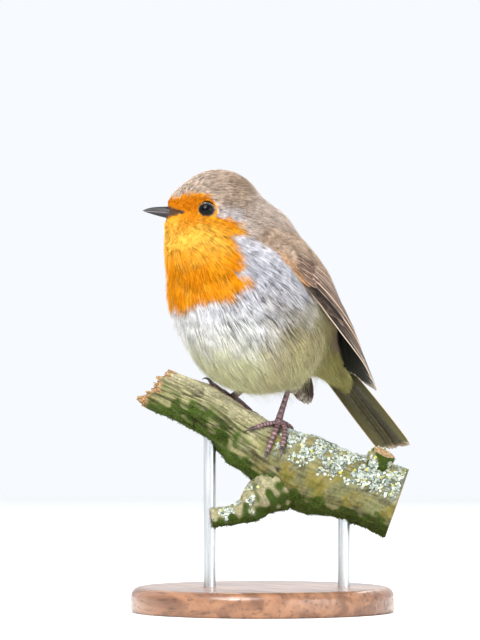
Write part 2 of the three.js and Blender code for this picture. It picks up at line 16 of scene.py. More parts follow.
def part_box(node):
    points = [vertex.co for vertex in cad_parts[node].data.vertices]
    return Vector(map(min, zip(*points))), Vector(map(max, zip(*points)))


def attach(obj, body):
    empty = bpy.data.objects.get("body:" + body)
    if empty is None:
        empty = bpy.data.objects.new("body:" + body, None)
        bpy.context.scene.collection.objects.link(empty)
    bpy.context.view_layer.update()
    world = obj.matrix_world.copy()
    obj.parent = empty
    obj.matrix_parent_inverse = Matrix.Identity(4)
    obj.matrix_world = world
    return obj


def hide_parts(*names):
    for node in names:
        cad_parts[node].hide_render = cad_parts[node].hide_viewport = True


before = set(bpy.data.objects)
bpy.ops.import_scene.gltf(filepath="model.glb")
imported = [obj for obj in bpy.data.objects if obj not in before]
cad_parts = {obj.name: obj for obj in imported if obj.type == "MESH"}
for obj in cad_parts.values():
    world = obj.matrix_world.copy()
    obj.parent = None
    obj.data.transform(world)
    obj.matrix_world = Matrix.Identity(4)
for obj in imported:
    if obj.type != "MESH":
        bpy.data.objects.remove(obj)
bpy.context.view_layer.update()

MM = 0.001
BODY = "root"
SIDES = ((1, "left"), (-1, "right"))  # the bird's left side is towards +X
print("solids to dress:", len(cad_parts))

# %% [markdown]
# ## The bird's form
# A bird's feathered body has no edges, so it is easiest to describe as soft lumps that melt into each
# other: trunk, breast, belly, neck, skull, cheeks. Each lump is an ellipsoid, and a soft minimum of their
# distances gives one smooth surface. The same lumps shaped the solids, so what is made here fits them.
# The bird faces -Y, its left side is +X, and every place is counted from the middle of the chest.

# %% Named sizes of the bird
CHEST = np.array([-2.2, -2.8, 109.6])
HEAD_AT = np.array([0.0, -14.8, 33.0])
HEAD_TURN = math.radians(-30)
HEAD_RADIUS = 15.2
TAIL_PITCH = math.radians(45.8)
BODY_SOFT = 5.5
LORE_PINCH, GAPE_GROOVE = 2.6, 3.6
UP = np.array([0.0, 0.0, 1.0])
LOOK = np.array([math.sin(HEAD_TURN), -math.cos(HEAD_TURN), 0.0])
HEAD_LEFT = np.array([math.cos(HEAD_TURN), math.sin(HEAD_TURN), 0.0])
TAIL_ALONG = np.array([0.0, math.cos(TAIL_PITCH), -math.sin(TAIL_PITCH)])


def smooth(v, low, high):
    """0 below low, 1 above high, and an even slide between them."""
    t = np.clip((np.asarray(v, float) - low) / (high - low), 0, 1)
    return t * t * (3 - 2 * t)


def bell(*slopes):
    """A soft hump, 1 in its middle, from (value, middle, reach) for each direction that it falls off in."""
    return np.exp(-sum(((v - middle) / reach) ** 2 for v, middle, reach in slopes))


def unit(v):
    return v / np.maximum(np.linalg.norm(v, axis=-1, keepdims=True), 1e-9)


def on_head(left, forward, up):
    """A place given in the head's own directions, counted from the chest."""
    left, forward, up = (np.asarray(v, float)[..., None] for v in (left, forward, up))
    return HEAD_AT + left * HEAD_LEFT + forward * LOOK + up * UP


# %% The soft lumps
def lump(at, radii, pitch=0.0, turn=0.0):
    cx, sx, cz, sz = math.cos(pitch), math.sin(pitch), math.cos(turn), math.sin(turn)
    about_x = np.array([[1, 0, 0], [0, cx, -sx], [0, sx, cx]])
    about_z = np.array([[cz, -sz, 0], [sz, cz, 0], [0, 0, 1]])
    return np.asarray(at, float), np.asarray(radii, float), about_z @ about_x


LUMPS = [
    lump((0, 0, -1), (27, 27.5, 31), math.radians(38)),  # trunk
    lump((0, -6, 7), (25.5, 24.8, 24)),  # breast
    lump((0, 1.5, -9.5), (23.5, 22.5, 20)),  # belly
    lump((0, -14, 19.5), (16.5, 21.5, 17.5)),  # neck
    lump((0, -1, 17.5), (18.5, 18.5, 15)),  # shoulders and mantle
    lump((0, 16.5, -3), (18, 14.5, 13)),  # lower back
    lump((0, 19, -9.5), (15, 18, 11), -TAIL_PITCH),  # rump
    lump((0, 32, -20), (8, 14, 4.5), -TAIL_PITCH),  # tail coverts
    lump(HEAD_AT, (14.2, HEAD_RADIUS + 0.6, HEAD_RADIUS), 0, HEAD_TURN),  # skull
    lump(on_head(0, 6.3, -1.5), (8.2, 9.6, 9.2), 0, HEAD_TURN),  # face
    lump(on_head(0, 4.5, -8), (10.5, 11.5, 9), 0, HEAD_TURN),  # cheeks and throat
    lump(on_head(0, 12, 2.4), (3.6, 5, 3.6), 0, HEAD_TURN),  # forehead, over the bill's root
    lump(on_head(0, 12.6, -4.8), (4.2, 4.6, 3.8), 0, HEAD_TURN),  # chin
    lump(on_head(0, -12.5, -7.3), (10, 13.2, 10.4), 0, HEAD_TURN),  # nape
]


def body_distance(p):
    """Distance from each point to the plumage's surface, negative inside."""
    found = np.full(len(p), 1e3)
    for at, radii, axes in LUMPS:
        near = ((p - at) @ axes) / radii
        k = np.linalg.norm(near, axis=1)
        d = k * (k - 1) / np.maximum(np.linalg.norm(near / radii, axis=1), 1e-6)
        share = np.maximum(BODY_SOFT - np.abs(found - d), 0) / BODY_SOFT
        found = np.minimum(found, d) - share * share * BODY_SOFT / 4
    return found + lore_pinch(p)


def lore_pinch(p):
    """The head is broad at the eyes and narrow at the bill's root, whose sides lie in a shallow groove."""
    place = p - HEAD_AT
    forward, aside, height = place @ LOOK, np.abs(place @ HEAD_LEFT), place[:, 2]
    pinch = LORE_PINCH * smooth(forward, 7, 15) * smooth(aside, 1.5, 7)
    pinch = pinch * (1 - smooth(np.abs(height + 1), 6, 12))
    wide = 0.6 + 0.24 * np.maximum(forward - 11.5, 0)
    groove = smooth(forward, 10.3, 14.5) * smooth(aside, 1.2, 3.4) * bell((height, -0.4, wide))
    return pinch + GAPE_GROOVE * groove


SLOPE_STEP = 0.05


def outward(p):
    """Unit normals of the body's surface at points near it."""
    slope = [body_distance(p + e) - body_distance(p - e) for e in np.eye(3) * SLOPE_STEP]
    return unit(np.stack(slope, 1))


def to_level(p, level, rounds=3):
    """Moves points along the slope until they lie at a level of the field."""
    for _ in range(rounds):
        p = p - outward(p) * (body_distance(p) - level)[:, None]
    return p


# %% [markdown]
# ## A small language for materials
# A material is a sum: so much noise, times so much of a mask, mixed from one colour into another. Written
# as bare nodes that takes pages. Here a `Wire` stands for the value that leaves a socket, and adding or
# multiplying wires adds the Math nodes. A `Finish` is one material with its shader; its `node` method makes
# any other node from its type, what its sockets are fed and its settings.

# %% Wires and finishes
class Wire:
    """The value that leaves a socket. Arithmetic on it adds Math nodes."""

    def __init__(self, finish, socket):
        self.finish, self.socket = finish, socket

    def maths(self, operation, *others):
        """This value after a Math node, such as "SINE", or "MAXIMUM" with one other value."""
        fed = dict(enumerate((self, *others)))
        return self.finish.node("ShaderNodeMath", fed, operation=operation)

    def __add__(self, other):
        return self.maths("ADD", other)

    def __sub__(self, other):
        return self.maths("SUBTRACT", other)

    def __mul__(self, other):
        return self.maths("MULTIPLY", other)

    def ramp(self, low, high, to_low=0.0, to_high=1.0):
        """Slides softly from to_low to to_high while the value goes from low to high."""
        fed = {"Value": self, "From Min": low, "From Max": high, "To Min": to_low, "To Max": to_high}
        return self.finish.node("ShaderNodeMapRange", fed, interpolation_type="SMOOTHSTEP")


def colour(code):
    """A screen colour such as "c88040" as the linear values that a shader wants."""
    parts = [int(code[i : i + 2], 16) / 255 for i in (0, 2, 4)]
    return [p / 12.92 if p <= 0.04045 else ((p + 0.055) / 1.055) ** 2.4 for p in parts] + [1.0]


class Finish:
    """One material: a Principled shader and the nodes that feed it."""

    def __init__(self, name, **constants):
        self.material = bpy.data.materials.new(name)
        self.material.use_nodes = True
        self.tree = self.material.node_tree
        self.shader = self.tree.nodes["Principled BSDF"]
        for key, value in constants.items():
            self.shader.inputs[key.replace("_", " ")].default_value = value

    def feed(self, socket, value):
        """Gives a socket a wire, a colour's code or a plain value."""
        if isinstance(value, Wire):
            self.tree.links.new(value.socket, socket)
        else:
            socket.default_value = colour(value) if isinstance(value, str) else value

    def node(self, kind, fed, out=0, **settings):
        made = self.tree.nodes.new(kind)
        for key, value in settings.items():
            setattr(made, key, value)
        for key, value in fed.items():
            self.feed(made.inputs[key], value)
        return Wire(self, made.outputs[out])

    def put(self, socket, value):
        self.feed(self.shader.inputs[socket], value)

    def mix(self, share, first, second, blend="MIX"):
        fed = {0: share, 6: first, 7: second}
        return self.node("ShaderNodeMix", fed, 2, data_type="RGBA", blend_type=blend, clamp_factor=True)

    def tint(self, shade, base):
        """base darkened or lightened by a number."""
        grey = self.node("ShaderNodeCombineColor", {0: shade, 1: shade, 2: shade})
        return self.mix(1.0, base, grey, "MULTIPLY")

    def value(self, name, out="Fac"):
        """The number that an attribute of the mesh gives each point."""
        return self.node("ShaderNodeAttribute", {}, out, attribute_name=name)

    def split(self, name):
        """The four numbers of a colour attribute."""
        read = self.value(name, "Color")
        parts = self.tree.nodes.new("ShaderNodeSeparateColor")
        self.feed(parts.inputs[0], read)
        alpha = Wire(self, read.socket.node.outputs["Alpha"])
        return [Wire(self, parts.outputs[i]) for i in range(3)] + [alpha]

    def place(self, stretch=(1, 1, 1)):
        at = self.node("ShaderNodeTexCoord", {}, "Object")
        return self.node("ShaderNodeVectorMath", {0: at, 1: stretch}, operation="MULTIPLY")

    def noise(self, per_metre, detail=3.0, rough=0.55, bend=0.0, at=None):
        fed = {"Scale": per_metre, "Detail": detail, "Roughness": rough, "Distortion": bend}
        fed["Vector"] = at or self.place()
        return self.node("ShaderNodeTexNoise", fed)

    def bump(self, height, strength, distance):
        fed = {"Height": height, "Strength": strength, "Distance": distance}
        self.put("Normal", self.node("ShaderNodeBump", fed))


# %% [markdown]
# ## Making a mesh from arrays
# Feathers come by the hundred thousand, so meshes are filled straight from arrays of points and corners.
# Each piece rides on the part's one body.

# %% Mesh helpers
KINDS = {(): ("FLOAT", "value"), (3,): ("FLOAT_VECTOR", "vector"), (4,): ("FLOAT_COLOR", "color")}


def carry(mesh, values):
    """Gives each of the mesh's points its named values: a number, a vector or a colour."""
    for name, array in values.items():
        array = np.asarray(array, np.float32)
        kind, field = KINDS[array.shape[1:]]
        mesh.attributes.new(name, kind, "POINT").data.foreach_set(field, array.ravel())


def mesh_at(name, points, values):
    """A mesh of bare points, given in millimetres, with their values."""
    mesh = bpy.data.meshes.new(name)
    mesh.vertices.add(len(points))
    mesh.vertices.foreach_set("co", (points * MM).astype(np.float32).ravel())
    carry(mesh, values)
    return mesh


def mesh_from(name, points, faces, values):
    """A mesh from points and groups of faces with three or four corners each."""
    mesh = mesh_at(name, points, values)
    corners = np.concatenate([g.ravel() for g in faces]).astype(np.int32)
    sizes = np.concatenate([np.full(len(g), g.shape[1]) for g in faces])
    starts = np.cumsum(sizes) - sizes
    mesh.loops.add(len(corners))
    mesh.loops.foreach_set("vertex_index", corners)
    mesh.polygons.add(len(sizes))
    mesh.polygons.foreach_set("loop_start", starts.astype(np.int32))
    mesh.polygons.foreach_set("use_smooth", np.ones(len(sizes), bool))
    mesh.update(calc_edges=True)
    return mesh


def linked(name, data):
    """A new object in the scene."""
    made = bpy.data.objects.new(name, data)
    bpy.context.collection.objects.link(made)
    return made


def set_down(name, mesh, slot):
    """The mesh as a piece that rides on the body; the finish slot is not used."""
    piece = linked(name, mesh)
    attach(piece, BODY)
    triangles = len(mesh.loops) - 2 * len(mesh.polygons)
    print(f"{name}: {len(mesh.vertices)} points, {triangles} triangles")
    return piece


def mesh_of(name, points, faces, finish, slot, values=None, bake=None):
    """A piece of one finish; bake is each point's place on its map, for pieces that need their own."""
    mesh = mesh_from(name, points, faces, values or {})
    if bake is not None:
        corners = np.concatenate([g.ravel() for g in faces])
        layer = mesh.uv_layers.new(name="OFBake")
        layer.data.foreach_set("uv", bake[corners].astype(np.float32).ravel())
    mesh.materials.append(finish.material)
    return set_down(name, mesh, slot)


def ripple(p, size, seed):
    """A soft noise between about -1 and 1, with waves of the given size in millimetres."""
    chance = np.random.default_rng(seed)
    total = np.zeros(len(p))
    for _ in range(7):
        way = unit(chance.normal(size=3)) * chance.uniform(0.6, 1.7) * 2 * math.pi / size
        total += np.sin(p @ way + chance.uniform(0, 6.28))
    return total / 3.2


def strip_faces(rows, columns, closed=False):
    """Corner numbers of the quads between rows of points."""
    across = np.arange(columns if closed else columns - 1)
    i, j = np.meshgrid(np.arange(rows - 1) * columns, across, indexing="ij")
    k = (j + 1) % columns
    return np.stack([i + j, i + k, i + columns + k, i + columns + j], -1).reshape(-1, 4)


# %% [markdown]
# ## Curves
# Wings, branch and toes were drawn along smooth curves through a few stations. The same kind of curve, a
# centripetal Catmull-Rom spline, is used here, so that vanes, bark and scales land exactly on those solids.

# %% Curves through stations
class Curve:
    """A smooth curve through stations, read by shares of their numbers."""

    def __init__(self, points):
        p = np.asarray(points, float)
        self.points = np.vstack([2 * p[0] - p[1], p, 2 * p[-1] - p[-2]])
        self.shares = np.linspace(0, 1, 201)
        steps = np.linalg.norm(np.diff(self.at(self.shares), axis=0), axis=1)
        self.lengths = np.concatenate([[0], np.cumsum(steps)])

    def at(self, t):
        """Points at shares t of the stations' numbers."""
        spans = len(self.points) - 3
        u = np.clip(t, 0, 1) * spans
        i = np.minimum(u.astype(int), spans - 1)
        w = (u - i)[..., None]
        a, b, c, d = (self.points[i + k] for k in range(4))
        gap = lambda m, n: np.linalg.norm(n - m, axis=-1, keepdims=True) ** 0.5
        e, f, g = gap(a, b), gap(b, c), gap(c, d)
        start = ((b - a) / e - (c - a) / (e + f) + (c - b) / f) * f
        end = ((c - b) / f - (d - b) / (f + g) + (d - c) / g) * f
        return b + start * w + (3 * c - 3 * b - 2 * start - end) * w**2 + (2 * b - 2 * c + start + end) * w**3

    def tangent(self, t):
        t = np.asarray(t, float)
        return unit(self.at(t + 1e-4) - self.at(t - 1e-4))

    def even(self, u):
        """The share t that lies at share u of the length."""
        return np.interp(np.asarray(u, float) * self.lengths[-1], self.lengths, self.shares)


def mixed(a, b, t):
    return a + (b - a) * t


# %% The folded wing's surface
WING_AT = [(19.5, -9.6, 23.5), (23.5, 2, 17), (25.3, 13.3, 8), (22.6, 25.3, -3.8), (18.6, 34.3, -15.6)]
WING_AT += [(14.6, 42.2, -29.3)]
WING_OUT = [(0.85, -0.3, 0.4), (0.88, 0, 0.45), (0.83, 0.25, 0.5), (0.62, 0.5, 0.6), (0.25, 0.74, 0.62)]
WING_OUT += [(0, 0.74, 0.67)]
WING_LINE, WING_FACE = Curve(WING_AT), Curve(WING_OUT)
WING_HANG = {1: (0.0, 0.0), -1: (math.radians(-6.5), math.radians(7.5))}  # droop and turn towards the tail


def tip_round(s):
    return np.sqrt(np.maximum(1 - np.maximum((s - 0.93) / 0.07, 0) ** 2, 0.02))


def swell(s, full):
    return np.minimum(1, (np.maximum(s, 0) / full) ** 0.6)


def lead_half(s):
    return mixed(8.4, 6.2, smooth(s, 0.5, 0.95)) * swell(s, 0.5) * tip_round(s)


def back_half(s):
    waist = 1 - 0.2 * bell((s, 0.3, 0.13))
    return 13.5 * waist * swell(s, 0.25) * mixed(1, 0.5, smooth(s, 0.62, 0.94)) * tip_round(s)


def wing_point(s, across, lift, side=1):
    """A point over the wing: s from shoulder to tip, across towards the leading edge, lift outwards."""
    s, across, lift = np.broadcast_arrays(np.asarray(s, float), across, lift)
    along = WING_LINE.tangent(s)
    out = WING_FACE.at(s)
    out = unit(out - along * np.sum(out * along, -1, keepdims=True))
    lead = np.cross(along, out)
    bend = mixed(23, 17, smooth(s, 0.45, 0.75))
    angle = (across / bend)[..., None]
    bend = bend[..., None]
    high = bend + lift[..., None]
    p = WING_LINE.at(s) + lead * high * np.sin(angle) + out * (high * np.cos(angle) - bend)
    (droop, turn), at = WING_HANG[side], np.asarray(WING_AT[0])
    hang = np.array(Matrix.Rotation(-droop, 3, "X") @ Matrix.Rotation(-turn, 3, "Z"))
    return ((p - at) @ hang + at) * [side, 1, 1]


# %% [markdown]
# ## Lofts
# Bill, lids, vanes, legs and claws are all tubes through rings of points, open or closed round their ends.

# %% Tubes through rings
def volume_of(points, faces):
    """The volume inside; it is negative where the faces point inwards."""
    total = 0.0
    for group in faces:
        a, b, c = (points[group[:, k]] for k in range(3))
        total += np.sum(np.cross(a, b) * c)
        if group.shape[1] == 4:
            total += np.sum(np.cross(a, c) * points[group[:, 3]])
    return total / 6


def loft(rings, hoop=False):
    """A closed form through rings. A hoop's last ring joins its first; otherwise the ends get fans."""
    rings = np.asarray(rings, float)
    rows, sides = rings.shape[:2]
    points = rings.reshape(-1, 3)
    if hoop:
        quads = strip_faces(rows, sides, True)
        i = np.arange(sides)
        k, end = (i + 1) % sides, (rows - 1) * sides
        last = np.stack([end + i, end + k, k, i], 1)
        faces = [np.concatenate([quads, last])]
    else:
        points = np.vstack([points, rings[0].mean(0), rings[-1].mean(0)])
        i, n = np.arange(sides), rows * sides
        near = np.stack([(i + 1) % sides, i, np.full(sides, n)], 1)
        far = (rows - 1) * sides + np.stack([i, (i + 1) % sides, np.full(sides, sides + 1)], 1)
        faces = [strip_faces(rows, sides, True), np.concatenate([near, far])]
    if volume_of(points, faces) < 0:
        faces = [f[:, ::-1] for f in faces]
    return points, faces


def over_rings(v, shape, ends=(0, 0)):
    """A loft's values: one for each point of its rings, which are shape many, then its two end points."""
    return np.concatenate([np.broadcast_to(v, shape).ravel(), ends])


def joined(parts):
    """Several (points, faces, values) in one."""
    points, quads, tris, values, base = [], [], [], {}, 0
    for p, faces, v in parts:
        points.append(p)
        for f in faces:
            (quads if f.shape[1] == 4 else tris).append(f + base)
        for key, array in v.items():
            values.setdefault(key, []).append(array)
        base += len(p)
    groups = [np.concatenate(g) for g in (quads, tris) if g]
    return np.vstack(points), groups, {k: np.concatenate(v) for k, v in values.items()}


def round_turn(sides):
    """Angles once round, without the last one that would repeat the first."""
    return np.linspace(0, 2 * math.pi, sides, endpoint=False)


def round_rings(path, radii, sides):
    """Circles round a path of points, without twist."""
    along = unit(np.gradient(path, axis=0))
    first = np.cross(along[0], UP if abs(along[0] @ UP) < 0.9 else [0, 1, 0])
    rings, turn = [], round_turn(sides)[:, None]
    for at, way, radius in zip(path, along, radii):
        first = unit(first - way * (first @ way))
        rings.append(at + radius * (np.cos(turn) * first + np.sin(turn) * np.cross(way, first)))
    return rings


# %% [markdown]
# ## One node tree for whatever repeats
# Scales on the legs, lichen lobes and moss shoots are all one small shape set down many times, each on its
# own point, standing its own way, at its own size. Geometry Nodes do that well. The points carry where each
# copy stands, which way is out and which way it lies; the tree puts the shape on every point, makes real
# mesh of the copies and gives them their finish.

# %% The strewing tree
def strewing_tree():
    tree = bpy.data.node_groups.new("strew", "GeometryNodeTree")
    sockets = {}

    def socket(name, way, kind):
        made = tree.interface.new_socket(name, in_out=way, socket_type="NodeSocket" + kind)
        sockets[name] = made.identifier

    fed = {"Points": "Geometry", "Shape": "Object", "Size": "Float", "Finish": "Material"}
    for name, kind in fed.items():
        socket(name, "INPUT", kind)
    socket("Copies", "OUTPUT", "Geometry")

    def add(kind, **settings):
        made = tree.nodes.new(kind)
        for key, value in settings.items():
            setattr(made, key, value)
        return made

    def read(name, kind):
        made = add("GeometryNodeInputNamedAttribute", data_type=kind)
        made.inputs["Name"].default_value = name
        return made.outputs["Attribute"]

    start, end = add("NodeGroupInput"), add("NodeGroupOutput")
    shape = add("GeometryNodeObjectInfo")
    turn = add("FunctionNodeAxesToRotation", primary_axis="Z", secondary_axis="X")
    size = add("ShaderNodeMath", operation="MULTIPLY")
    points, copies = add("GeometryNodeMeshToPoints"), add("GeometryNodeInstanceOnPoints")
    real, coated = add("GeometryNodeRealizeInstances"), add("GeometryNodeSetMaterial")
    for a, b in (
        (start.outputs["Points"], points.inputs["Mesh"]),
        (start.outputs["Shape"], shape.inputs["Object"]),
        (read("out", "FLOAT_VECTOR"), turn.inputs["Primary Axis"]),
        (read("way", "FLOAT_VECTOR"), turn.inputs["Secondary Axis"]),
        (read("girth", "FLOAT"), size.inputs[0]),
        (start.outputs["Size"], size.inputs[1]),
        (points.outputs["Points"], copies.inputs["Points"]),
        (shape.outputs["Geometry"], copies.inputs["Instance"]),
        (turn.outputs["Rotation"], copies.inputs["Rotation"]),
        (size.outputs[0], copies.inputs["Scale"]),
        (copies.outputs["Instances"], real.inputs["Geometry"]),
        (real.outputs["Geometry"], coated.inputs["Geometry"]),
        (start.outputs["Finish"], coated.inputs["Material"]),
        (coated.outputs["Geometry"], end.inputs["Copies"]),
    ):
        tree.links.new(a, b)
    return tree, sockets


STREW, STREW_SOCKETS = strewing_tree()


def strew(name, at, out, way, girth, shape, finish, slot, values):
    """Copies of a shape (points, faces, values in millimetres) on points; returns the piece."""
    small = mesh_from(name + "_shape", *shape)
    seeds = mesh_at(name + "_points", at, {"out": out, "way": way, "girth": girth, **values})
    holder, model = linked(seeds.name, seeds), bpy.data.objects.new(small.name, small)
    modifier = holder.modifiers.new("strew", "NODES")
    modifier.node_group = STREW
    for key, value in (("Shape", model), ("Size", 1.0), ("Finish", finish.material)):
        modifier[STREW_SOCKETS[key]] = value
    grown = holder.evaluated_get(bpy.context.evaluated_depsgraph_get())
    mesh = bpy.data.meshes.new_from_object(grown)
    bpy.data.objects.remove(holder)
    bpy.data.objects.remove(model)
    print(f"{name}: {len(at)} copies")
    return set_down(name, mesh, slot)


# %% [markdown]
# ## The branch's measures
# The branch was drawn in its own frame, x along it and y away from its front. A place over its bark is given
# by a share along it and an angle round it, 0 on top and growing towards the front. `to_row` turns that
# frame to where the perch stands.

# %% Branch frame
PERCH_HEADING = math.radians(52)
PERCH_BACK = 3.0
BRANCH_STATIONS = [(-36.5, 79.2, 7.4), (-20.3, 71.5, 8.3), (-4.6, 60.6, 9.6), (15, 50.1, 12.9)]
BRANCH_STATIONS += [(35.7, 42.9, 12.0), (48, 38.6, 12.2)]
BRANCH_LINE = Curve([(x, PERCH_BACK, z) for x, z, _ in BRANCH_STATIONS])
BRANCH_GIRTH = Curve([(x, r, 0) for x, _, r in BRANCH_STATIONS])
COS_HEADING, SIN_HEADING = math.cos(PERCH_HEADING), math.sin(PERCH_HEADING)
TURN = np.array([[COS_HEADING, SIN_HEADING, 0], [-SIN_HEADING, COS_HEADING, 0], [0, 0, 1]])


def to_row(p):
    return np.asarray(p, float) @ TURN


def bark_swell(s, angle):
    waves = 0.035 * np.sin(3 * angle + 9 * s) + 0.03 * np.sin(5 * angle - 4 * s + 1)
    return waves + 0.025 * np.sin(21 * s + 2 * angle) + 0.02 * np.sin(37 * s + 4 * angle + 2)


def branch_frame(s, angle):
    """Middle, way along and way out of the branch."""
    t = BRANCH_LINE.even(s)
    along = BRANCH_LINE.tangent(t)
    top = unit(np.stack([-along[..., 2], 0 * along[..., 0], along[..., 0]], -1))
    angle = np.asarray(angle, float)[..., None]
    return BRANCH_LINE.at(t), along, top * np.cos(angle) + np.array([0, -1.0, 0]) * np.sin(angle)


def branch_point(s, angle, lift=0.0):
    s, angle, lift = np.broadcast_arrays(np.asarray(s, float), angle, lift)
    middle, _, out = branch_frame(s, angle)
    radius = BRANCH_GIRTH.at(s)[..., 1] * (1 + bark_swell(s, angle)) + lift
    return middle + out * radius[..., None]


# Each foot in the branch's frame: ankle, joint of the toes, the way the leg's plates face, and the toes'
# stations as (share along, angle round).
FEET = {
    "left": {
        "ankle": (13, -1, 91), "joint": (5.7, 1.6, 68.1), "front": (-0.75, -0.66, 0),
        "toes": {
            "hallux": [(0.5, -0.4), (0.515, -0.85), (0.525, -1.25)],
            "inner": [(0.443, 0.35), (0.407, 0.72), (0.381, 1.04)],
            "middle": [(0.458, 0.74), (0.466, 1.18), (0.473, 1.55)],
            "outer": [(0.486, 0.55), (0.503, 0.92), (0.516, 1.22)],
        },
    },
    "right": {
        "ankle": (5, 15, 89), "joint": (-10.7, 5.5, 76.8), "front": (-0.7, -0.7, 0),
        "toes": {
            "hallux": [(0.335, -0.65), (0.355, -1.05), (0.373, -1.45)],
            "inner": [(0.26, -0.35), (0.205, -0.33), (0.158, 0.08)],
            "middle": [(0.262, -0.65), (0.215, -0.78), (0.168, -0.75)],
            "outer": [(0.285, -0.95), (0.255, -1.35), (0.23, -1.7)],
        },
    },
}
THIGH_UP = 21.5  # from the ankle's joint on the bark to the middle of the feathered thigh
THIGH_RADII = np.array([4.6, 4.6, 8.8])
for foot in FEET.values():
    joint, ankle = to_row(foot["joint"]), to_row(foot["ankle"])
    shin = unit(ankle - joint)
    first = unit(np.cross(shin, [0, 1, 0]))
    axes = np.stack([first, np.cross(shin, first), shin], 1)
    LUMPS.append((joint + THIGH_UP * shin - CHEST, THIGH_RADII, axes))
print("soft lumps, with the feathered thighs:", len(LUMPS))

# %% [markdown]
# ## Where each colour lies
# A robin's pattern is simple: a bib of orange over face and breast, a blue-grey border round it, brown
# above, white and buff below. The borders are given as a few turning points, round the neck in degrees from
# the breast's midline, and on the head in millimetres ahead of and above its middle. Skin and feathers read
# the same masks, so that what shows between feathers agrees with them.

# %% Turning points of the pattern
FACE_LINE = [(-10.5, -14), (-9, -6.6), (-7.2, -4.3), (-3.6, -3.7), (-0.7, -2.4), (1.4, -1.0), (2.1, 2.6)]
FACE_LINE += [(3.3, 5.7), (7.4, 6.5), (11.8, 6.2), (15.4, 5.4), (19, 5.2)]
BIB_SIDE = [(-3, 36), (0.9, 43), (5.5, 51), (7.3, 56), (8.7, 50), (9.4, 45), (13.3, 49), (15.7, 49)]
BIB_SIDE += [(18.6, 46), (21, 42), (23.9, 39), (24.9, 44), (26.4, 50), (30, 56)]
BIB_HEM = [(0, -3.2), (8, -1.6), (17, 0.1), (30, 0.5), (44, 0.9), (90, 1.0)]
MM_PER_DEGREE = 0.42
# Where pale feathers part, dark down and painted shade show: share, (degrees aside, reach), (height, reach).
PARTINGS = [(0.85, (76, 26), (-4, 11)), (0.4, (4, 9), (-12, 5))]
PARTINGS += [(0.3, (62, 18), (9, 8)), (0.4, (44, 14), (-7, 7))]


def interp(v, table):
    """Reads a table of turning points at v."""
    return np.interp(v, *zip(*table))


SHOULDER_SHARES = np.linspace(0, 0.34, 24)
SHOULDER_LINE, SHOULDER_ALONG = WING_LINE.at(SHOULDER_SHARES), WING_LINE.tangent(SHOULDER_SHARES)
SHOULDER_LEAD = unit(np.cross(SHOULDER_ALONG, WING_FACE.at(SHOULDER_SHARES)))


def shoulder_share(p):
    """1 over the closed wing's front, where brown meets the pale side."""
    q = p.copy()
    q[:, 0] = np.abs(q[:, 0])
    far = np.stack([np.linalg.norm(q - at, axis=1) for at in SHOULDER_LINE])
    near = far.argmin(0)
    off = q - SHOULDER_LINE[near]
    across = np.sum(off * SHOULDER_LEAD[near], 1)
    edge = 2.4 + 5.6 * smooth(SHOULDER_SHARES[near], 0.02, 0.45)
    return smooth(edge - across, -0.8, 0.8) * smooth(11.5 - far.min(0), 0, 4)


